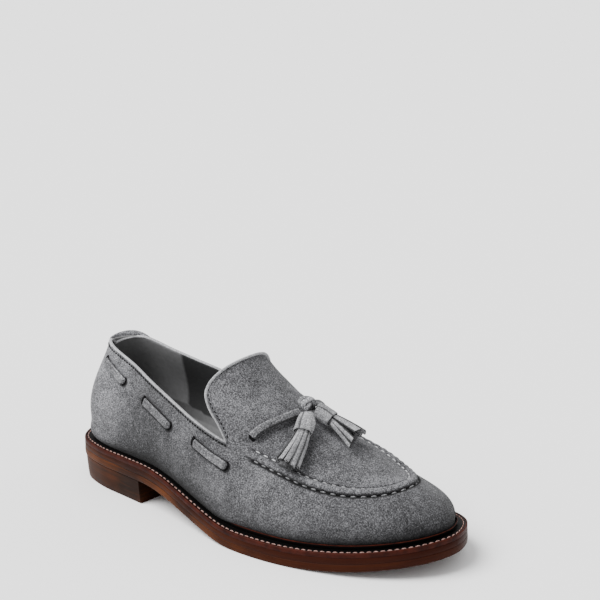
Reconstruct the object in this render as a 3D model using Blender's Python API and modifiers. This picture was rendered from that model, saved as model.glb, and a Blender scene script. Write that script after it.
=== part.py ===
"""Tassel loafer for the right foot: a suede upper on a welted leather sole with a stacked heel.

Metres. +X points to the toe, +Y to the inner side of the foot and +Z up. The origin is on the
floor in the middle of the sole's box. Inside the functions x runs from the back of the heel.
"""

import math

import bmesh
import bpy
import numpy as np
from mathutils import Vector

MM = 0.001
GAP = 0.3 * MM  # room between two pieces that touch

# Sole
SOLE_LENGTH = 300 * MM
SOLE_WIDTH = 101.3 * MM  # straight across the ball
TOE_SWING = 17 * MM  # how far the toe's tip lies to the inner side
SWING_BEND = 1.3  # 1 swings straight, more swings ever faster
TOE_SPRING = 11.3 * MM  # the toe's tip above the floor
SPRING_BEND = 1.8  # as SWING_BEND
FLAT_START = 180 * MM  # the forepart rests on the floor from here
FLAT_END = 210 * MM  # and from here it springs up
OUTSOLE_THICKNESS = 5 * MM
MIDSOLE_THICKNESS = 4 * MM
WELT_THICKNESS = 3.2 * MM
EDGE_ROUND = 0.8 * MM  # the outsole's worn lower edge
EDGE_STEP = 0.5 * MM  # the midsole stands this far inside the outsole's edge
INSOLE_RISE = 3 * MM  # the insole above the top of the welt

# Heel
HEEL_HEIGHT = 16.55 * MM  # floor to the underside of the outsole
HEEL_LENGTH = 80.6 * MM
HEEL_TAPER = 1.8 * MM  # the block is this much smaller all round at the floor

# Welt, with a raised rib that hides the joint with the upper
FEATHER_INSET = 8 * MM  # sole edge to the foot of the upper
RIB_HEIGHT = 2.6 * MM
RIB_THICKNESS = 0.9 * MM
RIB_LEAN = 0.8 * MM

# Upper
BACK_HEIGHT = 65 * MM  # welt to the collar at the back of the heel
TONGUE_HEIGHT = 99 * MM  # welt level to the top of the tongue
WALL = 2 * MM  # suede and lining
SWELL = 4 * MM  # how far the sides swell out
SEAM_HEIGHT = 1.4 * MM  # the pinched seam round the apron
SEAM_WIDTH = 5.5 * MM

# Lace and tassels
LACE_WIDTH = 5.2 * MM
LACE_THICKNESS = 1.7 * MM
BAR_LIFT = 0.45 * MM  # the bars' lower face above the wall, which is curved under them
LACE_ROUND = 4.4 * MM  # the lace rolled up on its way to the knot
KNOT_LENGTH = 12 * MM  # across the foot
KNOT_WIDTH = 10 * MM
KNOT_HEIGHT = 9 * MM
TASSEL_LENGTH = 39 * MM
CAP_LENGTH = 14.5 * MM
CAP_WIDTH = 11 * MM
CAP_DEPTH = 8 * MM
FRINGE_WIDTH = 16 * MM
FRINGE_DEPTH = 10 * MM
STRIPS = 9  # strips round each fringe
STRIP_WIDTH = 3.4 * MM
STRIP_THICKNESS = 1.4 * MM
STRIP_ROOT = 0.8  # the strips start at this share of the cap

ROW_STEPS = 3  # stations between two rows of a table
EDGE_STEPS = 24  # points between two rows of the sole's outline
SOLE_CUTS = 34  # cuts across each layer of the sole
HEEL_CUTS = 18
WELT_CUTS = 76  # cuts round the welt
TIP_TRIM = 0.0012  # a layer ends this share of its length short of its tips, so it has an end
BAR_CUTS = 7
LACE_CUTS = 14
CAP_SIDES = 14


def table(columns, *rows):
    """Rows of numbers as columns that are called by name."""
    return {name: np.array(column, float) for name, column in zip(columns.split(), zip(*rows))}


# The sole seen from above: how far along its length, and its half width to either side as
# shares of the width across the ball.
OUTLINE = table(
    "along outer inner",
    (0.000, 0.000, 0.000),
    (0.015, 0.161, 0.168),
    (0.050, 0.286, 0.286),
    (0.120, 0.356, 0.350),
    (0.220, 0.381, 0.365),
    (0.340, 0.406, 0.336),
    (0.460, 0.453, 0.346),
    (0.570, 0.504, 0.405),
    (0.680, 0.516, 0.484),
    (0.790, 0.475, 0.503),
    (0.880, 0.398, 0.444),
    (0.950, 0.275, 0.306),
    (0.985, 0.155, 0.158),
    (1.000, 0.000, 0.000),
)

# The upper from the back of the heel round to the toe, a row for each section. foot: share of
# the way round the foot of the upper. x, wide: place along the sole and half width, and
# high: height above the welt as a share of BACK_HEIGHT, all at the rim, which is the collar as
# far as the throat and the apron's seam from there on. rise: the wall's slope there in degrees.
# swell: share of SWELL.
WALLS = table(
    "foot x wide high rise swell",
    (0.000, 0.058, 0.000, 1.000, 74, 1.40),
    (0.085, 0.103, 0.139, 1.007, 76, 1.30),
    (0.185, 0.200, 0.196, 0.905, 80, 1.00),
    (0.300, 0.300, 0.267, 0.797, 82, 0.80),
    (0.415, 0.417, 0.329, 0.757, 78, 0.75),
    (0.540, 0.550, 0.378, 0.772, 66, 0.80),
    (0.595, 0.604, 0.364, 0.690, 58, 0.85),
    (0.675, 0.681, 0.362, 0.615, 52, 0.90),
    (0.760, 0.754, 0.344, 0.535, 45, 0.95),
    (0.850, 0.821, 0.268, 0.468, 37, 0.90),
    (0.940, 0.875, 0.148, 0.451, 28, 0.70),
    (1.000, 0.898, 0.000, 0.468, 24, 0.60),
)
THROAT = 5  # the row where the collar meets the tongue

# The crest of the vamp for the rows from the throat on. x along the sole, high: height above
# the welt as a share of TONGUE_HEIGHT.
CREST = table(
    "x high",
    (0.550, 0.785),
    (0.603, 0.694),
    (0.678, 0.570),
    (0.742, 0.485),
    (0.793, 0.419),
    (0.828, 0.380),
    (0.842, 0.366),
)

# The tongue from the throat up. Its edge: x, wide, high as above; its crest: crest_x,
# crest_high as shares of the length and TONGUE_HEIGHT. rise as above.
TONGUE = table(
    "x wide high rise crest_x crest_high",
    (0.550, 0.378, 0.507, 66, 0.550, 0.785),
    (0.520, 0.350, 0.595, 66, 0.531, 0.844),
    (0.488, 0.328, 0.672, 66, 0.516, 0.892),
    (0.470, 0.305, 0.738, 66, 0.506, 0.928),
    (0.465, 0.272, 0.790, 64, 0.500, 0.950),
)

# The lace shows in three bars on each side, each from one slot in the wall to the next. Place
# and share of the wall at both ends.
BARS = table(
    "start start_share end end_share",
    (1.00, 0.845, 1.85, 0.770),
    (2.64, 0.745, 3.58, 0.695),
    (4.24, 0.770, 5.14, 0.745),
)

# The lace's way over the vamp from its last slot on either side towards the knot: place and
# share of the vamp and height above it.
LACES = {
    "outer": (
        (5.78, 0.20, 2.8 * MM),
        (5.90, 0.32, 3.4 * MM),
        (6.00, 0.41, 3.9 * MM),
        (6.11, 0.51, 4.5 * MM),
        (6.19, 0.62, 5.2 * MM),
        (6.24, 0.75, 6.2 * MM),
    ),
    "inner": (
        (5.78, 0.20, 2.8 * MM),
        (5.92, 0.32, 3.6 * MM),
        (6.06, 0.44, 4.6 * MM),
        (6.20, 0.58, 5.6 * MM),
    ),
}
KNOT = (6.35, 0.94, 8.2 * MM)
# The middle line of each tassel on its way from the knot, at the end of its cap and of its
# fringe, as above.
TASSELS = {
    "outer": ((6.80, 0.80, 6.4 * MM), (7.27, 0.15, 7.6 * MM)),
    "inner": ((6.95, 0.75, 6.4 * MM), (8.10, 0.82, 6.0 * MM)),
}
SIDES = {"outer": -1, "inner": 1}

# The tassel's cap from its tip down: share of the way and share of its width.
CAP = ((0, 0.45), (0.2, 0.8), (0.5, 0.95), (1, 1))

# Where the upper's points lie from its foot to the rim and from the rim to the crest
WALL_SHARES = (0, 0.06, 0.15, 0.27, 0.40, 0.53, 0.66, 0.78, 0.88, 0.945, 1)
TOP_SHARES = (0, 0.08, 0.2, 0.36, 0.52, 0.68, 0.84, 1)


def smooth(values, places, start="even", end="even"):
    """A smooth curve through a column, read at places counted in rows. Past its ends the
    column is taken as mirrored (even) or turned about its last value (odd)."""
    before = values[1] if start == "even" else 2 * values[0] - values[1]
    after = values[-2] if end == "even" else 2 * values[-1] - values[-2]
    padded = np.concatenate([[before], values, [after]])
    row = np.clip(np.floor(places).astype(int), 0, len(values) - 2)
    part = places - row
    a, b, c, d = (padded[row + k] for k in range(4))
    cubic = 3 * (b - c) + d - a
    square = 2 * a - 5 * b + 4 * c - d
    return b + 0.5 * part * (c - a + part * (square + part * cubic))


def centre(x):
    """The middle of the shoe, which swings to the inner side from half way on."""
    return TOE_SWING * np.clip(2 * np.asarray(x) / SOLE_LENGTH - 1, 0, 1) ** SWING_BEND


def underside(x):
    """Height of the outsole's lower face: the heel seat, the arch, the flat and the spring."""
    x = np.asarray(x)
    arch = np.clip((FLAT_START - x) / (FLAT_START - HEEL_LENGTH), 0, 1)
    spring = np.clip((x - FLAT_END) / (SOLE_LENGTH - FLAT_END), 0, 1)
    return HEEL_HEIGHT * arch**2 * (3 - 2 * arch) + TOE_SPRING * spring**SPRING_BEND


def welt_top(x):
    return underside(x) + OUTSOLE_THICKNESS + MIDSOLE_THICKNESS + WELT_THICKNESS


def resampled(points, count, closed=False):
    """Points at equal steps along a chain of points."""
    chain = np.vstack([points, points[:1]]) if closed else points
    way = np.concatenate([[0], np.cumsum(np.linalg.norm(np.diff(chain, axis=0), axis=1))])
    steps = np.linspace(0, way[-1], count + 1 if closed else count)
    out = np.stack([np.interp(steps, way, chain[:, k]) for k in range(chain.shape[1])], axis=1)
    return out[:-1] if closed else out


def outline(inset=0.0):
    """The sole's edge from above, moved in by inset: from the heel's back along the outer side
    to the toe and back along the inner side."""
    rows = len(OUTLINE["along"])
    x = np.concatenate([OUTLINE["along"], OUTLINE["along"][-2:0:-1]]) * SOLE_LENGTH
    y = np.concatenate([-OUTLINE["outer"], OUTLINE["inner"][-2:0:-1]]) * SOLE_WIDTH
    loop = np.stack([x, y + centre(x)], axis=1)
    steps = np.sqrt(np.linalg.norm(np.roll(loop, -1, axis=0) - loop, axis=1))
    dense = []
    for i in range(2 * rows - 2):
        before, here, there, after = (loop[(i + k) % len(loop)] for k in (-1, 0, 1, 2))
        last, this, following = steps[i - 1], steps[i], steps[(i + 1) % len(steps)]
        leave = (there - here) / this + (here - before) / last - (there - before) / (last + this)
        arrive = (
            (after - there) / following + (there - here) / this
            - (after - here) / (this + following)
        )
        for t in np.linspace(0, 1, EDGE_STEPS, endpoint=False):
            dense.append(
                (2 * t**3 - 3 * t**2 + 1) * here
                + (t**3 - 2 * t**2 + t) * this * leave
                + (3 * t**2 - 2 * t**3) * there
                + (t**3 - t**2) * this * arrive
            )
    dense = np.array(dense)
    way = np.roll(dense, -1, axis=0) - np.roll(dense, 1, axis=0)
    way /= np.linalg.norm(way, axis=1)[:, None]
    return dense + inset * np.stack([-way[:, 1], way[:, 0]], axis=1)


def half_outline(side, inset):
    """One side of the outline from the heel's back to the toe's tip; side is -1 for the outer
    side and 1 for the inner."""
    loop = outline(inset)
    middle = len(loop) // 2
    if side < 0:
        return loop[: middle + 1]
    return np.vstack([loop[:1], loop[: middle - 1 : -1]])


def rungs(inset, count, start=None, end=None):
    """x, outer y and inner y of lines straight across the sole, closer together at its ends."""
    loop = outline(inset)
    first, last = loop[:, 0].argmin(), loop[:, 0].argmax()
    loop = np.roll(loop, -first, axis=0)
    last = (last - first) % len(loop)
    low, high = loop[0, 0], loop[last, 0]
    trim = TIP_TRIM * (high - low)
    start = low + trim if start is None else start
    end = high - trim if end is None else end
    turn = np.linspace(0, math.pi, count)
    share = (1 - np.cos(turn)) / 2
    x = start + (end - start) * share
    outer, inner = loop[: last + 1], loop[last:][::-1]
    inner = np.vstack([loop[:1], inner])
    return x, np.interp(x, outer[:, 0], outer[:, 1]), np.interp(x, inner[:, 0], inner[:, 1])


def finish(name, colour, roughness):
    """A material of its own for each piece."""
    material = bpy.data.materials.new(name)
    material.use_nodes = True
    shader = material.node_tree.nodes["Principled BSDF"]
    shader.inputs["Base Color"].default_value = (*colour, 1)
    shader.inputs["Roughness"].default_value = roughness
    return material


def add_object(name, bm, colour, roughness):
    """A named object from a bmesh, with its faces pointing out and its own material."""
    mesh = bpy.data.meshes.new(name)
    bmesh.ops.recalc_face_normals(bm, faces=bm.faces)
    bm.to_mesh(mesh)
    bm.free()
    obj = bpy.data.objects.new(name, mesh)
    mesh.materials.append(finish(name, colour, roughness))
    mesh.shade_smooth()
    mesh.set_sharp_from_angle(angle=math.radians(40))
    shoe.objects.link(obj)
    obj.parent = frame
    return obj


def loft(rings, closed=False):
    """A bmesh through rings of points: capped at its two ends, or closed into a loop."""
    bm = bmesh.new()
    made = [[bm.verts.new(p) for p in ring] for ring in rings]
    pairs = list(zip(made, made[1:]))
    if closed:
        pairs.append((made[-1], made[0]))
    for one, two in pairs:
        for k in range(len(one)):
            n = (k + 1) % len(one)
            bm.faces.new((one[k], one[n], two[n], two[k]))
    if not closed:
        bm.faces.new(made[0])
        bm.faces.new(made[-1])
    return bm


def layer(profile, count=SOLE_CUTS, start=None, end=None, level=None):
    """A slab of the sole. profile has (inset, height) from its lower face to its upper; heights
    are above the underside of the outsole, or above level where that is given."""
    cuts = []
    for inset, height in profile:
        x, outer, inner = rungs(inset, count, start, end)
        z = (underside(x) if level is None else np.full(count, level)) + height
        cuts.append((x, outer, inner, z))
    rings = []
    for k in range(count):
        outer_side = [(x[k], outer[k], z[k]) for x, outer, _, z in cuts]
        inner_side = [(x[k], inner[k], z[k]) for x, _, inner, z in reversed(cuts)]
        rings.append(outer_side + inner_side)
    return loft(rings)


def make_outsole():
    profile = ((EDGE_ROUND, 0), (0, EDGE_ROUND), (0, OUTSOLE_THICKNESS))
    return add_object("outsole", layer(profile), (0.16, 0.065, 0.035), 0.45)


def make_midsole():
    low = OUTSOLE_THICKNESS + GAP
    high = OUTSOLE_THICKNESS + MIDSOLE_THICKNESS
    bm = layer(((EDGE_STEP, low), (EDGE_STEP, high)))
    return add_object("midsole", bm, (0.13, 0.045, 0.03), 0.45)


def make_heel():
    profile = (
        (HEEL_TAPER + EDGE_ROUND, 0),
        (HEEL_TAPER, EDGE_ROUND),
        (EDGE_STEP, HEEL_HEIGHT - GAP),
    )
    bm = layer(profile, count=HEEL_CUTS, end=HEEL_LENGTH, level=0)
    return add_object("heel", bm, (0.09, 0.035, 0.02), 0.4)


def make_insole():
    low = OUTSOLE_THICKNESS + MIDSOLE_THICKNESS + GAP
    high = OUTSOLE_THICKNESS + MIDSOLE_THICKNESS + WELT_THICKNESS + INSOLE_RISE
    inset = FEATHER_INSET + WALL + 3 * GAP
    return add_object("insole", layer(((inset, low), (inset, high))), (0.25, 0.25, 0.25), 0.8)


def make_welt():
    """A strip all round the shoe, with the rib along the foot of the upper."""
    low = OUTSOLE_THICKNESS + MIDSOLE_THICKNESS + GAP
    top = OUTSOLE_THICKNESS + MIDSOLE_THICKNESS + WELT_THICKNESS
    rib_out = FEATHER_INSET - 2 * GAP - RIB_THICKNESS
    profile = (
        (0, low),
        (0, top - GAP),
        (GAP, top),
        (rib_out, top),
        (rib_out - RIB_LEAN, top + RIB_HEIGHT),
        (rib_out - RIB_LEAN + RIB_THICKNESS, top + RIB_HEIGHT),
        (rib_out + RIB_THICKNESS, top),
        (FEATHER_INSET + WALL, top),
        (FEATHER_INSET + WALL, low),
    )
    cuts = [
        (resampled(outline(inset), WELT_CUTS, closed=True), height) for inset, height in profile
    ]
    rings = [
        [(*cut[k], float(underside(cut[k][0])) + height) for cut, height in cuts]
        for k in range(WELT_CUTS)
    ]
    return add_object("welt", loft(rings, closed=True), (0.03, 0.015, 0.015), 0.5)


def rib(start, end, leave, arrive, share):
    """A point on a curve from start to end that leaves and arrives in the given directions."""
    reach = (end - start).length
    a, b, c, d = start, leave * reach, end, arrive * reach
    s = share
    return (
        (2 * s**3 - 3 * s**2 + 1) * a + (s**3 - 2 * s**2 + s) * b
        + (3 * s**2 - 2 * s**3) * c + (s**3 - s**2) * d
    )


def rim_point(side, place):
    x = float(smooth(WALLS["x"], place)) * SOLE_LENGTH
    wide = float(smooth(WALLS["wide"], place, "odd", "odd")) * SOLE_WIDTH
    high = float(smooth(WALLS["high"], place)) * BACK_HEIGHT
    return Vector((x, float(centre(x)) + side * wide, float(welt_top(x)) + high))


def foot_point(side, place):
    """Where the upper meets the welt."""
    half = HALVES[side]
    share = float(smooth(WALLS["foot"], place, "odd", "odd"))
    way = np.concatenate([[0], np.cumsum(np.linalg.norm(np.diff(half, axis=0), axis=1))])
    x, y = (float(np.interp(share * way[-1], way, half[:, k])) for k in (0, 1))
    return Vector((x, y, float(welt_top(x)) + GAP))


def outward(side, place, point):
    """Level and square to the line that point follows, away from the foot."""
    rows = len(WALLS["foot"]) - 1
    if place < 1e-6:
        return Vector((-1, 0, 0))
    if place > rows - 1e-6:
        return Vector((1, 0, 0))
    step = 0.05
    way = point(side, min(place + step, rows)) - point(side, max(place - step, 0))
    return Vector((way.y * -side, way.x * side, 0)).normalized() if way.length else Vector()


def rim_direction(side, place):
    """The way the wall passes the rim: inward and up."""
    rise = math.radians(float(smooth(WALLS["rise"], place)))
    return Vector((0, 0, math.sin(rise))) - outward(side, place, rim_point) * math.cos(rise)


def bump(share):
    """A rounded hump from 0 to 1 and back, highest at 3/7 of the way."""
    return share**1.5 * (1 - share) ** 2 / ((3 / 7) ** 1.5 * (4 / 7) ** 2)


def wall_point(side, place, share):
    """The wall from the foot of the upper (0) to the rim (1)."""
    foot, rim = foot_point(side, place), rim_point(side, place)
    swell = float(smooth(WALLS["swell"], place)) * SWELL
    point = rib(foot, rim, Vector((0, 0, 1)), rim_direction(side, place), share)
    return point + outward(side, place, foot_point) * swell * bump(share)


def crest_point(place):
    """The crest of the vamp; place counts rows of WALLS."""
    x = float(smooth(CREST["x"], place - THROAT, "odd", "odd")) * SOLE_LENGTH
    high = float(smooth(CREST["high"], place - THROAT, "odd", "odd")) * TONGUE_HEIGHT
    return Vector((x, float(centre(x)), float(welt_top(x)) + high))


def crest_slope(place):
    step = 0.1
    place = min(max(place, THROAT + step), len(WALLS["x"]) - 1 - 2 * step)
    way = crest_point(place + step) - crest_point(place - step)
    return way.z / way.x


def top_point(side, place, share):
    """The vamp from the apron's seam (0) to the crest (1)."""
    rim, crest = rim_point(side, place), crest_point(place)
    way = Vector((crest.x - rim.x, crest.y - rim.y, 0)).normalized()
    arrive = Vector((way.x, way.y, crest_slope(place) * way.x)).normalized()
    return rib(rim, crest, rim_direction(side, place), arrive, share)


def tongue_crest(place):
    x = float(smooth(TONGUE["crest_x"], place, "odd", "odd")) * SOLE_LENGTH
    high = float(smooth(TONGUE["crest_high"], place, "odd", "odd")) * TONGUE_HEIGHT
    return Vector((x, float(centre(x)), float(welt_top(THROAT_X)) + high))


def tongue_point(side, place, share):
    """The tongue from its side edge (0) to its crest (1); place counts rows of TONGUE."""
    x = float(smooth(TONGUE["x"], place, "odd", "odd")) * SOLE_LENGTH
    wide = float(smooth(TONGUE["wide"], place, "odd", "odd")) * SOLE_WIDTH
    high = float(smooth(TONGUE["high"], place, "odd", "odd")) * TONGUE_HEIGHT
    edge = Vector((x, float(centre(x)) + side * wide, float(welt_top(THROAT_X)) + high))
    crest = tongue_crest(place)
    rise = math.radians(float(smooth(TONGUE["rise"], place)))
    throat = rim_direction(side, THROAT)
    way = Vector((crest.x - edge.x, crest.y - edge.y, 0)).normalized()
    free = way * math.cos(rise) + Vector((0, 0, math.sin(rise)))
    leave = throat.lerp(free, min(place, 1)).normalized()
    return rib(edge, crest, leave, Vector((0, -side, 0)), share)


def sheet(bm, point, side, places, shares):
    """A patch of faces from a function of place and share, with its outer face up."""
    grid = [[bm.verts.new(point(side, p, s)) for s in shares] for p in places]
    for one, two in zip(grid, grid[1:]):
        for k in range(len(shares) - 1):
            face = (one[k], two[k], two[k + 1], one[k + 1])
            bm.faces.new(face if side < 0 else face[::-1])
    return grid


def make_upper():
    """One sheet, the wall, the vamp and the tongue, thickened inward. The seam round the apron
    is raised along the rim, from just in front of the throat."""
    bm = bmesh.new()
    rows = len(WALLS["foot"]) - 1
    walls = np.linspace(0, rows, rows * ROW_STEPS + 1)
    tops = walls[walls > THROAT - 1e-6]
    flap = np.linspace(0, len(TONGUE["x"]) - 1, 2 * (len(TONGUE["x"]) - 1) + 1)
    raised = []
    for side in (-1, 1):
        wall = sheet(bm, wall_point, side, walls, WALL_SHARES)
        top = sheet(bm, top_point, side, tops, TOP_SHARES)
        sheet(bm, tongue_point, side, flap, TOP_SHARES)
        for line, place in zip(wall + top, np.concatenate([walls, tops])):
            rim = rim_point(side, place)
            fade = min(max((place - THROAT - 0.6) / 0.4, 0), 1)
            for vert in line:
                near = 2 * (vert.co - rim).length / SEAM_WIDTH
                if fade > 0 and near < 1:
                    raised.append((vert.co.copy(), fade * SEAM_HEIGHT * (1 - near**2) ** 2))
    bmesh.ops.remove_doubles(bm, verts=bm.verts, dist=0.01 * MM)
    bm.normal_update()
    lift = {tuple(round(c / (0.02 * MM)) for c in co): height for co, height in raised}
    for vert in bm.verts:
        height = lift.get(tuple(round(c / (0.02 * MM)) for c in vert.co), 0)
        vert.co += vert.normal * height
    obj = add_object("upper", bm, (0.16, 0.16, 0.165), 0.9)
    solid = obj.modifiers.new("wall", "SOLIDIFY")
    solid.thickness = WALL
    solid.offset = -1
    solid.use_even_offset = True
    return obj


def spot(surface, side, place, share):
    """A point on the wall or the vamp and the way straight out of it."""
    step = 0.01
    low, high = max(share - step, 0), min(share + step, 1)
    along = surface(side, place + step, share) - surface(side, place - step, share)
    up = surface(side, place, high) - surface(side, place, low)
    return surface(side, place, share), (along.cross(up) * -side).normalized()


def above(side, place, share, height):
    """A point over the vamp."""
    point, out = spot(top_point, side, place, share)
    return point + out * height


def make_bars():
    """The lace where it lies on the wall, a little narrower at its upper face."""
    for name, side in SIDES.items():
        for k in range(len(BARS["start"])):
            places = np.linspace(BARS["start"][k], BARS["end"][k], BAR_CUTS)
            shares = np.linspace(BARS["start_share"][k], BARS["end_share"][k], BAR_CUTS)
            spots = [spot(wall_point, side, float(p), float(s)) for p, s in zip(places, shares)]
            rings = []
            for i, (point, out) in enumerate(spots):
                way = spots[min(i + 1, BAR_CUTS - 1)][0] - spots[max(i - 1, 0)][0]
                aside = out.cross(way).normalized() * LACE_WIDTH / 2
                low, high = point + out * BAR_LIFT, point + out * (BAR_LIFT + LACE_THICKNESS)
                rings.append([low - aside, low + aside, high + 0.8 * aside, high - 0.8 * aside])
            add_object(f"lace_bar_{name}_{k + 1}", loft(rings), (0.17, 0.17, 0.175), 0.9)


def smooth_path(points, steps):
    """Points on a smooth curve through a route's own points."""
    columns = np.array([tuple(p) for p in points])
    places = np.linspace(0, len(points) - 1, steps)
    return np.stack([smooth(columns[:, k], places, "odd", "odd") for k in range(3)], axis=1)


def knot_centre():
    return above(1, *KNOT)


def knot_edge(towards):
    """The point just off the knot's surface on the way from its middle towards a point."""
    middle, out = knot_centre(), spot(top_point, 1, *KNOT[:2])[1]
    way = (towards - middle).normalized()
    turned = Vector((0, 0, 1)).rotation_difference(out).inverted() @ way
    sizes = (KNOT_WIDTH / 2, KNOT_LENGTH / 2, KNOT_HEIGHT / 2)
    reach = 1 / math.sqrt(sum((c / size) ** 2 for c, size in zip(turned, sizes)))
    return middle + way * (reach + BAR_LIFT)


def make_lace_ends():
    """The lace from its last slot to the knot, on both sides."""
    for name, side in SIDES.items():
        route = [above(side, *row) for row in LACES[name]]
        route.append(knot_edge(route[-1]))
        curve = bpy.data.curves.new(f"lace_end_{name}", "CURVE")
        curve.dimensions = "3D"
        path = smooth_path(route, LACE_CUTS)
        line = curve.splines.new("POLY")
        line.points.add(len(path) - 1)
        for point, place in zip(line.points, path):
            point.co = (*place, 1)
        curve.bevel_depth = LACE_ROUND / 2
        curve.bevel_resolution = 2
        curve.use_fill_caps = True
        curve.materials.append(finish(f"lace_end_{name}", (0.18, 0.18, 0.185), 0.9))
        obj = bpy.data.objects.new(f"lace_end_{name}", curve)
        shoe.objects.link(obj)
        obj.parent = frame


def make_knot():
    out = spot(top_point, 1, *KNOT[:2])[1]
    bm = bmesh.new()
    bmesh.ops.create_uvsphere(bm, u_segments=16, v_segments=10, radius=0.5)
    bmesh.ops.scale(bm, vec=(KNOT_WIDTH, KNOT_LENGTH, KNOT_HEIGHT), verts=bm.verts)
    turn = Vector((0, 0, 1)).rotation_difference(out)
    bmesh.ops.rotate(bm, cent=(0, 0, 0), matrix=turn.to_matrix(), verts=bm.verts)
    bmesh.ops.translate(bm, vec=knot_centre(), verts=bm.verts)
    return add_object("knot", bm, (0.2, 0.2, 0.205), 0.9)


def oval(centre_point, aside, out, width, depth, count):
    """Points round an oval."""
    turns = (2 * math.pi * k / count for k in range(count))
    return [
        centre_point + aside * width / 2 * math.cos(t) + out * depth / 2 * math.sin(t)
        for t in turns
    ]


def tassel_line(name, side, share):
    """A place on a tassel's middle line, with its directions down, aside and out of the vamp."""
    cap_end, fringe_end = (above(side, *row) for row in TASSELS[name])
    start = knot_edge(cap_end)
    middle = start + (cap_end - start).normalized() * CAP_LENGTH
    end = middle + (fringe_end - cap_end).normalized() * (TASSEL_LENGTH - CAP_LENGTH)
    bend = 2 * middle - start - end
    point = start.lerp(end, share) + bend * share * (1 - share)
    down = (end - start + bend * (1 - 2 * share)).normalized()
    out = spot(top_point, side, *TASSELS[name][1][:2])[1]
    aside = down.cross(out).normalized()
    return point, down, aside, aside.cross(down)


def make_strip(name, side, turn):
    """One strip of a fringe, from inside the cap to the fringe's end."""
    rings = []
    for t in (0, 0.25, 0.5, 0.75, 1):
        root = STRIP_ROOT * CAP_LENGTH / TASSEL_LENGTH
        at, down, aside, out = tassel_line(name, side, root + t * (1 - root))
        level, upright = aside * math.cos(turn) / 2, out * math.sin(turn) / 2
        low = level * CAP_WIDTH + upright * CAP_DEPTH
        far = level * FRINGE_WIDTH + upright * FRINGE_DEPTH
        off = low.lerp(far, t) * (1 - 0.5 * STRIP_THICKNESS / low.length)
        flat = down.cross(off).normalized() * STRIP_WIDTH * (0.75 + 0.25 * t) / 2
        thick = off.normalized() * STRIP_THICKNESS / 2
        middle = at + off
        rings.append(
            [middle - flat - thick, middle + flat - thick, middle + flat + thick,
             middle - flat + thick]
        )
    return loft(rings)


def make_tassel(name, side):
    """A cap of suede wound round the lace's end, and a fringe of strips that hang out of it."""
    rings = []
    for at, width in CAP:
        point, _, aside, out = tassel_line(name, side, at * CAP_LENGTH / TASSEL_LENGTH)
        rings.append(oval(point, aside, out, width * CAP_WIDTH, width * CAP_DEPTH, CAP_SIDES))
    cap = add_object(f"tassel_{name}", loft(rings), (0.18, 0.18, 0.185), 0.9)
    strips = bmesh.new()
    for k in range(STRIPS):
        strip = make_strip(name, side, 2 * math.pi * (k + 0.5) / STRIPS)
        piece = bpy.data.meshes.new("strip")
        strip.to_mesh(piece)
        strip.free()
        strips.from_mesh(piece)
        bpy.data.meshes.remove(piece)
    fringe = add_object(f"fringe_{name}", strips, (0.18, 0.18, 0.185), 0.9)
    shoe.objects.unlink(fringe)
    cutters.objects.link(fringe)
    fringe.hide_render = True
    fringe.display_type = "WIRE"
    join = cap.modifiers.new("fringe", "BOOLEAN")
    join.operation = "UNION"
    join.object = fringe
    join.use_self = True


for old in list(bpy.data.objects):
    bpy.data.objects.remove(old)
shoe = bpy.data.collections.new("tassel_loafer")
bpy.context.scene.collection.children.link(shoe)
cutters = bpy.data.collections.new("cutters")
bpy.context.scene.collection.children.link(cutters)
frame = bpy.data.objects.new("frame", None)
shoe.objects.link(frame)
EDGE = outline()
frame.location = (-SOLE_LENGTH / 2, -(EDGE[:, 1].min() + EDGE[:, 1].max()) / 2, 0)
HALVES = {side: half_outline(side, FEATHER_INSET) for side in (-1, 1)}
THROAT_X = float(WALLS["x"][THROAT]) * SOLE_LENGTH

make_outsole()
make_midsole()
make_heel()
make_insole()
make_welt()
make_upper()
make_bars()
make_lace_ends()
make_knot()
for name, side in SIDES.items():
    make_tassel(name, side)
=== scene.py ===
import math
import random

import bmesh
import bpy
import numpy as np
from mathutils import Matrix, Vector


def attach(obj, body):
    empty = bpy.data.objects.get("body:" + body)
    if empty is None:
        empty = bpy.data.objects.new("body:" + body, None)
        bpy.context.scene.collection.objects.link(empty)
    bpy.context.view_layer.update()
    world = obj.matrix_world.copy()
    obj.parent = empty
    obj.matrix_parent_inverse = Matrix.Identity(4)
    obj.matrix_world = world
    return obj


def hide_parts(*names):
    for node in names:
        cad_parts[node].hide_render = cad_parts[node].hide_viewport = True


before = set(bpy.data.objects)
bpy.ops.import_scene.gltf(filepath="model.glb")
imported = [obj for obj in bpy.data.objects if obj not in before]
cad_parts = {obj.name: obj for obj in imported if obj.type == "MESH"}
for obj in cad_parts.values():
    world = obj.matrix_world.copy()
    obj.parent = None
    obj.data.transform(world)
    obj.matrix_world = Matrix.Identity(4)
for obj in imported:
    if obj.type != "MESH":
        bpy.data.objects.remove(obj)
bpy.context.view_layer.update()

MM = 0.001
bpy.ops.object.select_all(action="DESELECT")

# ---- Camera, floor and light
# A white table in soft daylight. The camera stands on the outer side of the shoe, low and in
# front of the toe, and sees it just as the photograph does.
bpy.ops.object.camera_add(location=(0.65631, -0.65769, 0.40640))
camera = bpy.context.object
camera_right = Vector((0.73282786, 0.68011136, -0.02029458))
camera_up = Vector((-0.17185893, 0.21387494, 0.96162468))
camera_back = Vector((0.65835237, -0.70121755, 0.27361672))
camera.rotation_euler = Matrix((camera_right, camera_up, camera_back)).transposed().to_euler()
camera.data.lens = 92.7
camera.data.clip_end = 40
bpy.context.scene.camera = camera


def linear(colour):
    """A hex colour as the linear numbers that a shader takes."""
    parts = (int(colour[i : i + 2], 16) / 255 for i in (1, 3, 5))
    return (*(c / 12.92 if c <= 0.04045 else ((c + 0.055) / 1.055) ** 2.4 for c in parts), 1)


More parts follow.
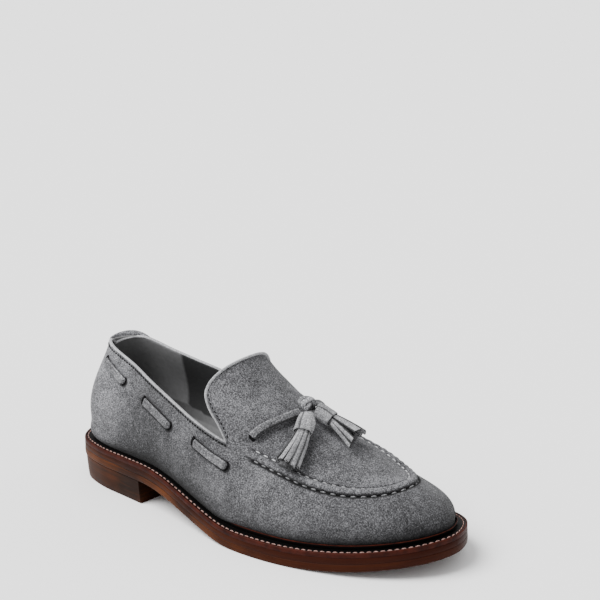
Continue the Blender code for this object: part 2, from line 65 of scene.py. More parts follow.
def add(tree, kind, inputs=None, **settings):
    """A new node with its settings, and its inputs set to a value or linked to a socket."""
    made = tree.nodes.new(kind)
    for name, value in settings.items():
        setattr(made, name, value)
    for name, value in (inputs or {}).items():
        if isinstance(value, bpy.types.NodeSocket):
            tree.links.new(value, made.inputs[name])
        else:
            made.inputs[name].default_value = value
    return made


def blank(name):
    """A new material, its node tree and its shader."""
    made = bpy.data.materials.new(name)
    made.use_nodes = True
    return made, made.node_tree, made.node_tree.nodes["Principled BSDF"]


bpy.ops.mesh.primitive_plane_add(size=30, location=(0, 0, 0))
table = bpy.context.object
table.name = "table"
white_card, tree, shader = blank("white_card")
shader.inputs["Base Color"].default_value = linear("#fafafa")
shader.inputs["Roughness"].default_value = 0.9
table.data.materials.append(white_card)

bpy.ops.object.light_add(type="SUN", location=(-0.45, -0.70, 1.35))
window = bpy.context.object
window.data.energy = 5.6
window.data.angle = math.radians(40)
window.rotation_euler = (Vector((0, 0, 0.05)) - window.location).to_track_quat("-Z", "Y").to_euler()
bpy.context.scene.world = bpy.data.worlds.new("daylight")
bpy.context.scene.world.use_nodes = True
sky = bpy.context.scene.world.node_tree.nodes["Background"]
sky.inputs["Color"].default_value = (1, 1, 1, 1)
sky.inputs["Strength"].default_value = 1.0

# ---- Outsole
# Five millimetres of oak-bark leather, cut to the last's outline and trimmed flush. Its edge is
# stained brown and burnished with wax, so the fibres show as streaks along it.
SOLE_LENGTH = 300 * MM
SOLE_WIDTH = 101.3 * MM
TOE_SWING = 17 * MM
TOE_SPRING = 11.3 * MM
FLAT_START, FLAT_END = 180 * MM, 210 * MM
HEEL_HEIGHT, HEEL_LENGTH = 16.55 * MM, 80.6 * MM
OUTSOLE_TOP, MIDSOLE_TOP, WELT_TOP = 5 * MM, 9 * MM, 12.2 * MM
TIP_TRIM = 0.004 * MM
PLACE = np.array((-SOLE_LENGTH / 2, -0.00482265, 0))
OUTLINE = np.array((
    (0.000, 0.000, 0.000), (0.015, 0.161, 0.168), (0.050, 0.286, 0.286), (0.120, 0.356, 0.350),
    (0.220, 0.381, 0.365), (0.340, 0.406, 0.336), (0.460, 0.453, 0.346), (0.570, 0.504, 0.405),
    (0.680, 0.516, 0.484), (0.790, 0.475, 0.503), (0.880, 0.398, 0.444), (0.950, 0.275, 0.306),
    (0.985, 0.155, 0.158), (1.000, 0.000, 0.000),
))


def centre(x):
    """The shoe's middle line, which swings to the inner side towards the toe."""
    return TOE_SWING * np.clip(2 * np.asarray(x) / SOLE_LENGTH - 1, 0, 1) ** 1.3


def underside(x):
    """Height of the sole's lower face: heel seat, arch, flat and toe spring."""
    arch = np.clip((FLAT_START - np.asarray(x)) / (FLAT_START - HEEL_LENGTH), 0, 1)
    spring = np.clip((np.asarray(x) - FLAT_END) / (SOLE_LENGTH - FLAT_END), 0, 1)
    return HEEL_HEIGHT * arch**2 * (3 - 2 * arch) + TOE_SPRING * spring**1.8


def outline(inset=0.0):
    """The sole's edge from above, moved in by inset, from the heel's back round the outer side."""
    x = np.concatenate([OUTLINE[:, 0], OUTLINE[-2:0:-1, 0]]) * SOLE_LENGTH
    y = np.concatenate([-OUTLINE[:, 1], OUTLINE[-2:0:-1, 2]]) * SOLE_WIDTH
    loop = np.stack([x, y + centre(x)], axis=1)
    steps = np.sqrt(np.linalg.norm(np.roll(loop, -1, axis=0) - loop, axis=1))
    dense = []
    for i in range(len(loop)):
        before, here, there, after = (loop[(i + k) % len(loop)] for k in (-1, 0, 1, 2))
        last, this, following = steps[i - 1], steps[i], steps[(i + 1) % len(steps)]
        leave = (there - here) / this + (here - before) / last - (there - before) / (last + this)
        arrive = (after - there) / following + (there - here) / this
        arrive -= (after - here) / (this + following)
        for t in np.linspace(0, 1, 24, endpoint=False):
            dense.append(
                (2 * t**3 - 3 * t**2 + 1) * here + (t**3 - 2 * t**2 + t) * this * leave
                + (3 * t**2 - 2 * t**3) * there + (t**3 - t**2) * this * arrive
            )
    dense = np.array(dense)
    way = np.roll(dense, -1, axis=0) - np.roll(dense, 1, axis=0)
    way /= np.linalg.norm(way, axis=1)[:, None]
    return dense + inset * np.stack([-way[:, 1], way[:, 0]], axis=1)


def piece(name, points, faces, material, attributes=None, sharp=35):
    """A finished object from points in the shoe's own measure, with its node's place added."""
    mesh = bpy.data.meshes.new(name)
    mesh.from_pydata([tuple(p) for p in np.asarray(points) + PLACE], [], faces)
    for key, values in (attributes or {}).items():
        mesh.attributes.new(key, "FLOAT", "POINT").data.foreach_set("value", np.asarray(values, np.float32))
    work = bmesh.new()
    work.from_mesh(mesh)
    bmesh.ops.remove_doubles(work, verts=work.verts, dist=0.02 * MM)
    bmesh.ops.recalc_face_normals(work, faces=work.faces)
    work.to_mesh(mesh)
    work.free()
    mesh.materials.append(material)
    mesh.shade_smooth()
    mesh.set_sharp_from_angle(angle=math.radians(sharp))
    made = bpy.data.objects.new(name, mesh)
    bpy.context.scene.collection.objects.link(made)
    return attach(made, "root")


def slab(name, profile, material, end=None, level=None, count=220):
    """A layer of the sole from cuts straight across it. profile holds (inset, height) from its
    lower face to its upper, above the underside of the outsole or above level."""
    turn = np.linspace(0, math.pi, count)
    rings, lifts = [[] for _ in range(count)], [[] for _ in range(count)]
    for inset, height in profile:
        loop = outline(inset)
        loop = np.roll(loop, -loop[:, 0].argmin(), axis=0)
        last = loop[:, 0].argmax()
        low, high = loop[0, 0], loop[last, 0]
        stop = high - TIP_TRIM if end is None else end
        x = low + TIP_TRIM + (stop - low - TIP_TRIM) * (1 - np.cos(turn)) / 2
        x[-1] = stop
        outer, inner = loop[: last + 1], np.vstack([loop[:1], loop[last:][::-1]])
        outer_y, inner_y = np.interp(x, *outer.T), np.interp(x, *inner.T)
        z = (underside(x) if level is None else level) + height + 0 * x
        for k in range(count):
            rings[k].insert(len(rings[k]) // 2, (x[k], outer_y[k], z[k]))
            rings[k].insert(len(rings[k]) // 2 + 1, (x[k], inner_y[k], z[k]))
            lifts[k].insert(len(lifts[k]) // 2, height)
            lifts[k].insert(len(lifts[k]) // 2 + 1, height)
    m = 2 * len(profile)
    faces = [
        (i * m + k, i * m + (k + 1) % m, (i + 1) * m + (k + 1) % m, (i + 1) * m + k)
        for i in range(count - 1) for k in range(m)
    ]
    faces += [tuple(range(m)), tuple((count - 1) * m + k for k in range(m))]
    points = np.array(rings).reshape(-1, 3)
    return piece(name, points, faces, material, {"lift": np.array(lifts).ravel()})


def burnished(name, dark, light, streak, gloss):
    """Leather edge, stained and waxed: fibres in long streaks, a few rubbed light."""
    made, tree, shader = blank(name)
    place = add(tree, "ShaderNodeTexCoord").outputs["Object"]
    flat = add(tree, "ShaderNodeSeparateXYZ", {0: place})
    lift = add(tree, "ShaderNodeAttribute", attribute_name="lift").outputs["Fac"]
    along = add(tree, "ShaderNodeCombineXYZ", {"X": flat.outputs["X"], "Y": flat.outputs["Y"], "Z": lift})
    # fibres about 0.5 mm thick and 30 mm long
    sized = add(tree, "ShaderNodeMapping", {"Vector": along.outputs[0], "Scale": (30, 30, streak)})
    fibres = add(tree, "ShaderNodeTexNoise", {"Vector": sized.outputs[0], "Scale": 1.0, "Detail": 5.0, "Roughness": 0.6})
    cloud = add(tree, "ShaderNodeTexNoise", {"Vector": place, "Scale": 38.0, "Detail": 2.0})
    both = add(tree, "ShaderNodeMath", {0: fibres.outputs["Fac"], 1: cloud.outputs["Fac"]}, operation="ADD")
    ramp = add(tree, "ShaderNodeValToRGB", {"Fac": add(tree, "ShaderNodeMath", {0: both.outputs[0], 1: 0.5}, operation="MULTIPLY").outputs[0]})
    ramp.color_ramp.elements[0].position, ramp.color_ramp.elements[0].color = 0.38, linear(dark)
    ramp.color_ramp.elements[1].position, ramp.color_ramp.elements[1].color = 0.62, linear(light)
    # the stain is deeper and redder from the ball of the foot on
    front = add(tree, "ShaderNodeMapRange", {"Value": flat.outputs["X"], "From Min": -0.02, "From Max": 0.07, "To Max": 0.80})
    deep = add(tree, "ShaderNodeMix", {"Factor": front.outputs[0], 6: ramp.outputs["Color"], 7: linear("#260b04")}, data_type="RGBA")
    tree.links.new(deep.outputs[2], shader.inputs["Base Color"])
    bump = add(tree, "ShaderNodeBump", {"Height": fibres.outputs["Fac"], "Strength": 0.25, "Distance": 0.0004})
    tree.links.new(bump.outputs["Normal"], shader.inputs["Normal"])
    shader.inputs["Roughness"].default_value = gloss
    shader.inputs["Specular IOR Level"].default_value = 0.05
    return made


outsole = slab(
    "outsole_leather",
    ((1.2 * MM, 0), (0.45 * MM, 0.15 * MM), (0.1 * MM, 0.6 * MM), (0, 1.4 * MM), (-0.1 * MM, 2.6 * MM),
     (-0.08 * MM, 3.9 * MM), (-0.02 * MM, 4.8 * MM), (0.15 * MM, OUTSOLE_TOP)),
    burnished("oak_bark_leather", "#220e05", "#50290d", 900, 0.5),
)
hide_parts("outsole")

# ---- Midsole
# The leather layer between outsole and welt, its edge stained with the same wax but redder.
midsole = slab(
    "midsole_leather",
    ((0.2 * MM, OUTSOLE_TOP + 0.02 * MM), (0.05 * MM, OUTSOLE_TOP + 0.25 * MM), (0.02 * MM, OUTSOLE_TOP + 1.8 * MM),
     (0.1 * MM, MIDSOLE_TOP - 0.25 * MM), (0.25 * MM, MIDSOLE_TOP)),
    burnished("red_stained_leather", "#1c0904", "#3a1b0b", 900, 0.5),
)
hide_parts("midsole")

# ---- Heel
# Lifts of leather nailed and glued up under the seat, ground to shape in one piece and waxed
# nearly as dark as the welt. The breast is blacked.
heel = slab(
    "stacked_heel",
    ((2.6 * MM, 0), (2.0 * MM, 0.2 * MM), (1.7 * MM, 1.0 * MM), (1.2 * MM, 6 * MM), (0.9 * MM, 11 * MM),
     (0.6 * MM, 16.0 * MM), (0.9 * MM, 16.4 * MM)),
    burnished("stacked_leather", "#180902", "#361805", 420, 0.5), end=HEEL_LENGTH, level=0,
)
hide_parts("heel")

# ---- Welt
# A leather strip sewn all round to the upper and the sole, with a pressed rib against the
# upper. It is blacked, its outer edge rubbed back to red-brown, and a red-brown painted highlight runs along the rib's
# top.
FEATHER_INSET = 8 * MM


def resampled(points, count, closed=False):
    """Points at equal steps along a chain of points; any further values in a row go with them."""
    chain = np.vstack([points, points[:1]]) if closed else np.asarray(points)
    way = np.concatenate([[0], np.cumsum(np.linalg.norm(np.diff(chain[:, :3], axis=0), axis=1))])
    steps = np.linspace(0, way[-1], count + 1 if closed else count)
    out = np.stack([np.interp(steps, way, chain[:, k]) for k in range(chain.shape[1])], axis=1)
    return out[:-1] if closed else out


def welt_leather():
    made, tree, shader = blank("blacked_welt_leather")
    place = add(tree, "ShaderNodeTexCoord").outputs["Object"]
    # the attribute marks real red-brown rubbing on the welt's outer edge and a red-brown painted highlight along the
    # rib's top
    wear_and_highlight = add(tree, "ShaderNodeAttribute", attribute_name="wear_and_highlight").outputs["Fac"]
    cloud = add(tree, "ShaderNodeTexNoise", {"Vector": place, "Scale": 160.0, "Detail": 4.0})
    much = add(tree, "ShaderNodeMath", {0: cloud.outputs["Fac"], 1: wear_and_highlight}, operation="MULTIPLY")
    ramp = add(tree, "ShaderNodeValToRGB", {"Fac": much.outputs[0]})
    ramp.color_ramp.elements[0].position, ramp.color_ramp.elements[0].color = 0.05, linear("#020101")
    ramp.color_ramp.elements[1].position, ramp.color_ramp.elements[1].color = 0.6, linear("#4a1d12")
    tree.links.new(ramp.outputs["Color"], shader.inputs["Base Color"])
    bump = add(tree, "ShaderNodeBump", {"Height": cloud.outputs["Fac"], "Strength": 0.3, "Distance": 0.0003})
    tree.links.new(bump.outputs["Normal"], shader.inputs["Normal"])
    shader.inputs["Roughness"].default_value = 0.55
    shader.inputs["Specular IOR Level"].default_value = 0.06
    return made


# each row: inset, height and how much red-brown shows, real rubbing on the outer edge and painted highlight on the
# rib's top
welt_profile = (
    (0.3, 9.02, 0.3), (0.12, 9.25, 0.5), (0.08, 10.6, 0.5), (0.15, 11.7, 0.5), (0.6, 12.1, 0.7), (1.8, 11.95, 0.1),
    (2.3, 11.6, 0.0), (2.9, 11.6, 0.0), (3.3, 11.95, 0.1), (4.0, 12.1, 0.05), (5.6, 12.05, 0.0), (6.2, 12.2, 0.05),
    (6.1, 13.4, 0.0), (5.95, 14.3, 0.1), (6.1, 14.8, 0.8), (6.5, 14.9, 0.6), (6.9, 14.5, 0.0), (7.3, 12.3, 0.0),
    (10, 12.1, 0.0), (10, 9.1, 0.0),
)
WELT_CUTS = 420
cuts = [
    np.column_stack([ring := resampled(outline(inset * MM), WELT_CUTS, closed=True), underside(ring[:, 0]) + high * MM])
    for inset, high, _ in welt_profile
]
m = len(welt_profile)
points = np.array(cuts).transpose(1, 0, 2).reshape(-1, 3)
faces = [
    (i * m + k, i * m + (k + 1) % m, (i + 1) % WELT_CUTS * m + (k + 1) % m, (i + 1) % WELT_CUTS * m + k)
    for i in range(WELT_CUTS) for k in range(m)
]
# the rib's painted highlight drops to under a third along the waist and round the heel
front = 0.3 + 0.7 * np.clip((cuts[0][:, 0] - 150 * MM) / (60 * MM), 0, 1)
wear_and_highlight = [r * f if inset > 5.9 else r for f in front for inset, _, r in welt_profile]
welt = piece("storm_welt", points, faces, welt_leather(), {"wear_and_highlight": wear_and_highlight}, sharp=50)
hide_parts("welt")


def stitch_row(name, middles, ways, outs, size, material):
    """Stitches of waxed thread, one mesh: each a rounded bar half sunk in what it sews."""
    bpy.ops.object.select_all(action="DESELECT")
    bpy.ops.mesh.primitive_uv_sphere_add(segments=10, ring_count=7, radius=0.5)
    form = bpy.context.object
    ball = np.array([v.co for v in form.data.vertices])
    ball = ball * np.array(size)
    ball[:, 2] -= 0.35 * size[2] * (2 * ball[:, 0] / size[0]) ** 2
    sides = [tuple(f.vertices) for f in form.data.polygons]
    bpy.data.objects.remove(form)
    points, faces = [], []
    for middle, way, out in zip(middles, ways, outs):
        aside = np.cross(out, way)
        turn = np.stack([way, aside / np.linalg.norm(aside), out])
        faces += [tuple(i + len(points) * len(ball) for i in side) for side in sides]
        points.append(ball @ turn + middle)
    made = piece(name, np.concatenate(points), faces, material, sharp=80)
    return made


def thread(name, colour, dark):
    """Twisted linen thread drawn through wax."""
    made, tree, shader = blank(name)
    place = add(tree, "ShaderNodeTexCoord").outputs["Object"]
    twist = add(tree, "ShaderNodeTexNoise", {"Vector": place, "Scale": 1400.0, "Detail": 2.0})
    ramp = add(tree, "ShaderNodeValToRGB", {"Fac": twist.outputs["Fac"]})
    ramp.color_ramp.elements[0].position, ramp.color_ramp.elements[0].color = 0.3, linear(dark)
    ramp.color_ramp.elements[1].position, ramp.color_ramp.elements[1].color = 0.65, linear(colour)
    tree.links.new(ramp.outputs["Color"], shader.inputs["Base Color"])
    shader.inputs["Roughness"].default_value = 0.7
    shader.inputs["Specular IOR Level"].default_value = 0.1
    return made


WELT_STITCH = 4.1 * MM
ring = outline(2.6 * MM)
count = int(np.linalg.norm(np.diff(ring, axis=0), axis=1).sum() / WELT_STITCH)
ring = resampled(ring, count, closed=True)
line = np.column_stack([ring, underside(ring[:, 0]) + 11.85 * MM])
ways = np.roll(line, -1, axis=0) - np.roll(line, 1, axis=0)
ways /= np.linalg.norm(ways, axis=1)[:, None]
outs = np.cross(ways, np.cross((0, 0, 1), ways))
welt_stitches = stitch_row(
    "welt_stitches", line, ways, outs / np.linalg.norm(outs, axis=1)[:, None],
    (3.3 * MM, 0.8 * MM, 0.8 * MM), thread("pink_linen_thread", "#a88880", "#5c423c"),
)

# ---- Upper
# One skin of grey suede over the last: the wall from the welt up to the collar, the vamp and
# the tongue, with the apron's seam pinched up by hand along the rim of the vamp.
FOOT = (0.000, 0.085, 0.185, 0.300, 0.415, 0.540, 0.595, 0.675, 0.760, 0.850, 0.940, 1.000)
RIM_X = (0.058, 0.103, 0.200, 0.300, 0.417, 0.550, 0.604, 0.681, 0.754, 0.821, 0.875, 0.898)
RIM_WIDE = (0.000, 0.139, 0.196, 0.267, 0.329, 0.378, 0.364, 0.362, 0.344, 0.268, 0.148, 0.000)
RIM_HIGH = (1.000, 1.007, 0.905, 0.797, 0.757, 0.772, 0.690, 0.615, 0.535, 0.468, 0.451, 0.468)
RISE = (74, 76, 80, 82, 78, 66, 58, 52, 45, 37, 28, 24)
SWELLS = (1.40, 1.30, 1.00, 0.80, 0.75, 0.80, 0.85, 0.90, 0.95, 0.90, 0.70, 0.60)
BACK_HEIGHT, TONGUE_HEIGHT, SWELL = 65 * MM, 99 * MM, 4 * MM
THROAT = 5
LAST = 11
CREST_X = (0.550, 0.603, 0.678, 0.742, 0.793, 0.828, 0.842)
CREST_HIGH = (0.785, 0.694, 0.570, 0.485, 0.419, 0.380, 0.366)
TONGUE = np.array((
    (0.550, 0.378, 0.507, 66, 0.550, 0.785), (0.520, 0.350, 0.595, 66, 0.531, 0.844),
    (0.488, 0.328, 0.672, 66, 0.516, 0.892), (0.470, 0.305, 0.738, 66, 0.506, 0.928),
    (0.465, 0.272, 0.790, 64, 0.500, 0.950),
)).T


def smooth(values, place, start="even", end="even"):
    """A column of a table read on a smooth curve, at a place counted in rows."""
    values = np.asarray(values, float)
    before = values[1] if start == "even" else 2 * values[0] - values[1]
    after = values[-2] if end == "even" else 2 * values[-1] - values[-2]
    padded = np.concatenate([[before], values, [after]])
    row = min(max(int(place), 0), len(values) - 2)
    part = place - row
    a, b, c, d = padded[row : row + 4]
    return b + 0.5 * part * (c - a + part * (2 * a - 5 * b + 4 * c - d + part * (3 * (b - c) + d - a)))


def unit(vector):
    return vector / max(np.linalg.norm(vector), 1e-12)


def half_ring(side):
    loop = outline(FEATHER_INSET)
    half = loop[: len(loop) // 2 + 1] if side < 0 else np.vstack([loop[:1], loop[: len(loop) // 2 - 1 : -1]])
    way = np.concatenate([[0], np.cumsum(np.linalg.norm(np.diff(half, axis=0), axis=1))])
    return half, way


HALVES = {side: half_ring(side) for side in (-1, 1)}


def foot_point(side, place):
    half, way = HALVES[side]
    at = smooth(FOOT, place, "odd", "odd") * way[-1]
    x, y = (np.interp(at, way, half[:, k]) for k in (0, 1))
    return np.array((x, y, underside(x) + WELT_TOP + 0.3 * MM))


def rim_point(side, place):
    x = smooth(RIM_X, place) * SOLE_LENGTH
    wide = smooth(RIM_WIDE, place, "odd", "odd") * SOLE_WIDTH
    return np.array((x, centre(x) + side * wide, underside(x) + WELT_TOP + smooth(RIM_HIGH, place) * BACK_HEIGHT))


def outward(side, place, point):
    """Level and square to the line that point follows, away from the foot."""
    if place < 1e-6 or place > LAST - 1e-6:
        return np.array((-1.0 if place < 1 else 1.0, 0, 0))
    way = point(side, min(place + 0.05, LAST)) - point(side, max(place - 0.05, 0))
    return unit(np.array((way[1] * -side, way[0] * side, 0)))


def rim_way(side, place):
    rise = math.radians(smooth(RISE, place))
    return np.array((0, 0, math.sin(rise))) - outward(side, place, rim_point) * math.cos(rise)


def curve(start, end, leave, arrive, share):
    """Points at shares of a curve that leaves and arrives in the given directions."""
    reach, s = np.linalg.norm(end - start), np.asarray(share)[..., None]
    return (
        (2 * s**3 - 3 * s**2 + 1) * start + (s**3 - 2 * s**2 + s) * reach * leave
        + (3 * s**2 - 2 * s**3) * end + (s**3 - s**2) * reach * arrive
    )


def wall_points(side, place, share):
    """The wall from the welt (0) to the rim (1)."""
    s = np.asarray(share)
    bulge = smooth(SWELLS, place) * SWELL * s**1.5 * (1 - s) ** 2 / 0.0916
    line = curve(foot_point(side, place), rim_point(side, place), np.array((0, 0, 1)), rim_way(side, place), s)
    return line + outward(side, place, foot_point) * bulge[..., None]


def crest_point(place):
    x = smooth(CREST_X, place - THROAT, "odd", "odd") * SOLE_LENGTH
    high = smooth(CREST_HIGH, place - THROAT, "odd", "odd") * TONGUE_HEIGHT
    return np.array((x, centre(x), underside(x) + WELT_TOP + high))


def top_points(side, place, share):
    """The vamp from the rim (0) to its crest (1)."""
    rim, crest = rim_point(side, place), crest_point(place)
    at = min(max(place, THROAT + 0.1), LAST - 0.2)
    run = crest_point(at + 0.1) - crest_point(at - 0.1)
    way = unit((crest - rim) * (1, 1, 0))
    arrive = unit(np.array((way[0], way[1], run[2] / run[0] * way[0])))
    return curve(rim, crest, rim_way(side, place), arrive, share)


def tongue_points(side, place, share):
    """The tongue from its edge (0) to its middle (1); place counts its own rows, up."""
    x, wide, high, rise, crest_x, crest_high = (smooth(row, place, "odd", "odd") for row in TONGUE)
    level = underside(RIM_X[THROAT] * SOLE_LENGTH) + WELT_TOP
    edge = np.array((x * SOLE_LENGTH, centre(x * SOLE_LENGTH) + side * wide * SOLE_WIDTH, level + high * TONGUE_HEIGHT))
    crest = np.array((crest_x * SOLE_LENGTH, centre(crest_x * SOLE_LENGTH), level + crest_high * TONGUE_HEIGHT))
    free = unit((crest - edge) * (1, 1, 0)) * math.cos(math.radians(rise)) + np.array((0, 0, math.sin(math.radians(rise))))
    throat, part = rim_way(side, THROAT), min(place, 1)
    return curve(edge, crest, unit(throat * (1 - part) + free * part), np.array((0.0, -side, 0)), share)


def spot(surface, side, place, share):
    """A point of a surface and the way straight out of it."""
    low, high = max(share - 0.01, 0), min(share + 0.01, 1)
    first, last = max(place - 0.01, 0), min(place + 0.01, LAST)
    along = surface(side, last, np.array(share)) - surface(side, first, np.array(share))
    up = surface(side, place, np.array(high)) - surface(side, place, np.array(low))
    return surface(side, place, np.array(share)), unit(np.cross(along, up) * -side)


SEAM_PITCH = 6.1 * MM
dense_places = np.linspace(0, LAST, 441)
rim_run = {}
for side in (-1, 1):
    line = np.array([rim_point(side, p) for p in dense_places])
    rim_run[side] = np.concatenate([[0], np.cumsum(np.linalg.norm(np.diff(line, axis=0), axis=1))])
BARS = ((1.00, 0.845, 1.85, 0.770), (2.64, 0.745, 3.58, 0.695), (4.24, 0.770, 5.14, 0.745))
holes = []
for side in (-1, 1):
    for start, start_share, end, end_share in BARS:
        holes += [spot(wall_points, side, start, start_share)[0], spot(wall_points, side, end, end_share)[0]]
    holes.append(spot(top_points, side, 5.78, 0.20)[0])
holes = np.array(holes)
bar_lines = [
    np.array([wall_points(side, a + t * (b - a), np.array(c + t * (d - c))) for t in np.linspace(0.04, 0.96, 24)])
    for side in (-1, 1) for a, c, b, d in BARS
]
# soft creases where the shoe has been flexed: middle, way across, half length, half width, depth
CREASES = (
    ((0.176, -0.049, 0.046), (0.75, 0.15, -0.6), 16 * MM, 4.0 * MM, 0.45 * MM),
    ((0.150, -0.050, 0.050), (0.8, 0.0, -0.6), 14 * MM, 4.0 * MM, 0.35 * MM),
    ((0.200, -0.046, 0.040), (0.7, 0.3, -0.5), 14 * MM, 3.5 * MM, 0.35 * MM),
    ((0.060, -0.044, 0.040), (1.0, 0.0, 0.1), 18 * MM, 5.0 * MM, 0.35 * MM),
    ((0.196, -0.020, 0.068), (0.3, 0.9, 0.2), 12 * MM, 4.0 * MM, 0.30 * MM),
)


def seam_relief(s, run, fade, high):
    """The pinched seam at s millimetres inside the rim: groove, ridge with puckers, small groove."""
    pull = 0.5 + 0.5 * math.cos(2 * math.pi * run / SEAM_PITCH)
    ridge = np.where((s > -0.2) & (s < 5.2), np.sin(np.pi * np.clip((s + 0.2) / 5.4, 0, 1)) ** 0.7, 0)
    ridge = ridge * high * (1 - 0.30 * pull * np.clip(1.5 - s / 3, 0.1, 1))
    return fade * (ridge - 1.0 * np.exp(-(((s + 0.55) / 0.7) ** 2)) - 0.45 * np.exp(-(((s - 5.6) / 0.5) ** 2))
                   + 0.35 * np.exp(-(((s + 2.6) / 1.2) ** 2)))


def build_upper():
    rises = np.linspace(1, 0, 58)[:-1]
    near = np.arange(2.8, -0.1, -0.4)
    over = np.arange(0, 8.1, 0.4)
    points, faces, lifts, tones = [], [], [], []

    def patch(grid, lift, tone, side):
        base = sum(len(p) for p in points)
        n, k = grid.shape[:2]
        points.append(grid.reshape(-1, 3))
        lifts.append(lift.ravel())
        tones.append(tone.ravel())
        for i in range(n - 1):
            for j in range(k - 1):
                face = (base + i * k + j, base + (i + 1) * k + j, base + (i + 1) * k + j + 1, base + i * k + j + 1)
                faces.append(face if side < 0 else face[::-1])

    for side in (-1, 1):
        run = rim_run[side]
        front = np.interp(5.4, dense_places, run)
        back = np.concatenate([np.arange(0, 4, 0.5) * MM, np.arange(4 * MM, front, 1.1 * MM), np.arange(front, run[-1], 0.85 * MM), [run[-1]]])
        places = np.unique(np.append(np.interp(back, run, dense_places), THROAT))
        places = places[np.concatenate([[True], np.diff(places) > 0.004])]
        places[np.abs(places - THROAT).argmin()] = THROAT
        wall, wall_lift, wall_tone, top, top_lift, top_tone = [], [], [], [], [], []
        for place in places:
            at = np.interp(place, dense_places, run)
            fade = min(max((place - 5.75) / 0.35, 0), 1)
            high = 1.0 + 1.3 * min(max((place - 6.3) / 0.9, 0), 1)
            pull = 0.5 + 0.5 * math.cos(2 * math.pi * at / SEAM_PITCH)
            dense = wall_points(side, place, np.linspace(0, 1, 90))
            way = np.concatenate([[0], np.cumsum(np.linalg.norm(np.diff(dense, axis=0), axis=1))])
            down = way[-1] - way
            s = np.concatenate([3.2 + rises * (way[-1] / MM - 3.2), near])
            share = np.interp(s * MM, down[::-1], np.linspace(1, 0, 90))
            share[0], share[-1] = 0, 1
            # behind the ball of the foot the skin swells out over the welt
            over_welt = 2.8 * MM * min(max((6.2 - place) / 1.5, 0), 1) * np.exp(-(((way[-1] / MM - s - 4) / 6) ** 2))
            wall.append(wall_points(side, place, share) + outward(side, place, foot_point) * over_welt[:, None])
            relief = seam_relief(-s, at, fade, high)
            if place < THROAT + 0.3:
                relief = relief - 0.3 * np.exp(-(((s - 2.0) / 0.35) ** 2)) * min(max((THROAT + 0.3 - place) / 0.3, 0), 1)
            seat = np.exp(-(at / (0.6 * MM)) ** 2)
            wall_lift.append((relief - 0.4 * seat) * MM)
            foot = (way[-1] / MM - s)
            # dirt and painted shade darken the wall towards the welt
            dirt_and_shade = 0.85 + 0.15 * min(max((place - 1) / 1.5, 0), 1) + 0.3 * min(max((place - 5) / 2, 0), 1)
            # painted light: the wall's tone is raised round the heel and lowered towards the toe
            wear_and_light = 1.80 - 0.78 * min(max((place - 0.8) / 1.7, 0), 1) + 0.05 * min(max((place - 5) / 1.5, 0), 1) - 0.22 * min(max((place - 7) / 2, 0), 1)
            # painted shade low on the wall at the waist
            waist_shade = 0.46 * math.exp(-(((place - 3.2) / 1.7) ** 2))
            sewn = min(max((THROAT + 0.3 - place) / 0.3, 0), 1)
            # the last term is painted shade in the seam's groove outside the ridge
            wall_tone.append(wear_and_light - waist_shade * np.exp(-((foot / 46) ** 2)) - dirt_and_shade * (0.40 * np.exp(-foot / 3) + 0.62 * np.exp(-foot / 11))
                             - 0.5 * seat - 0.5 * sewn * np.exp(-(((s - 1.9) / 0.75) ** 4))
                             - 1.0 * fade * np.exp(-(((s - 0.8) / 1.4) ** 4)))
            if place > THROAT - 1e-6:
                dense = top_points(side, place, np.linspace(0, 1, 90))
                way = np.concatenate([[0], np.cumsum(np.linalg.norm(np.diff(dense, axis=0), axis=1))])
                s = np.concatenate([over, 8 + np.linspace(0, 1, 30)[1:] * (way[-1] / MM - 8)])
                share = np.interp(s * MM, way, np.linspace(0, 1, 90))
                share[-1] = 1
                if abs(place - THROAT) < 1e-6:
                    throat_shares = share
                top.append(top_points(side, place, share))
                top_lift.append(seam_relief(s, at, fade, high) * MM)
                # painted shade in the grooves either side of the ridge and in its puckers, and a painted highlight on
                # the ridge between puckers
                top_tone.append(1.07 - fade * (1.0 * np.exp(-(((s + 0.7) / 1.3) ** 4)) + 0.75 * np.exp(-(((s - 5.6) / 0.75) ** 2))
                                            + 0.3 * pull * np.exp(-(((s - 0.7) / 0.8) ** 2)))
                                + 0.28 * fade * (1 - pull) * np.exp(-(((s - 2.6) / 1.4) ** 2)))
        patch(np.array(wall), np.array(wall_lift), np.array(wall_tone), side)
        patch(np.array(top), np.array(top_lift), np.array(top_tone), side)
        rows = np.linspace(0, TONGUE.shape[1] - 1, 45)
        tongue = np.array([tongue_points(side, row, throat_shares) for row in rows])
        patch(tongue, np.zeros(tongue.shape[:2]), np.full(tongue.shape[:2], 1.07), -side)
    points, lifts, tones = np.concatenate(points), np.concatenate(lifts), np.concatenate(tones)
    for middle, way, long, wide, depth in CREASES:
        off = points - np.array(middle)
        run = off @ unit(np.array(way))
        cross = np.linalg.norm(off - run[:, None] * unit(np.array(way)), axis=1)
        lifts -= depth * np.exp(-((run / long) ** 2)) * (np.exp(-((cross / wide) ** 2)) - 0.5 * np.exp(-((cross / (2 * wide)) ** 2)))
    for hole in holes:
        away = np.linalg.norm(points - hole, axis=1)
        lifts -= 0.5 * MM * np.exp(-((away / (2.6 * MM)) ** 2))
        # painted shade round each slot
        tones -= 0.3 * np.exp(-((away / (3.4 * MM)) ** 2))
    for line in bar_lines:
        away = np.min([np.linalg.norm(points - at, axis=1) for at in line], axis=0)
        lifts -= 0.35 * MM * np.exp(-((away / (3.2 * MM)) ** 4))
        # painted shadow along the lower edge
        below = np.min([np.linalg.norm(points - at + (0, 0, 0.7 * MM), axis=1) for at in line], axis=0)
        tones -= 0.8 * np.exp(-((below / (3.7 * MM)) ** 10))
    return points, faces, lifts, tones


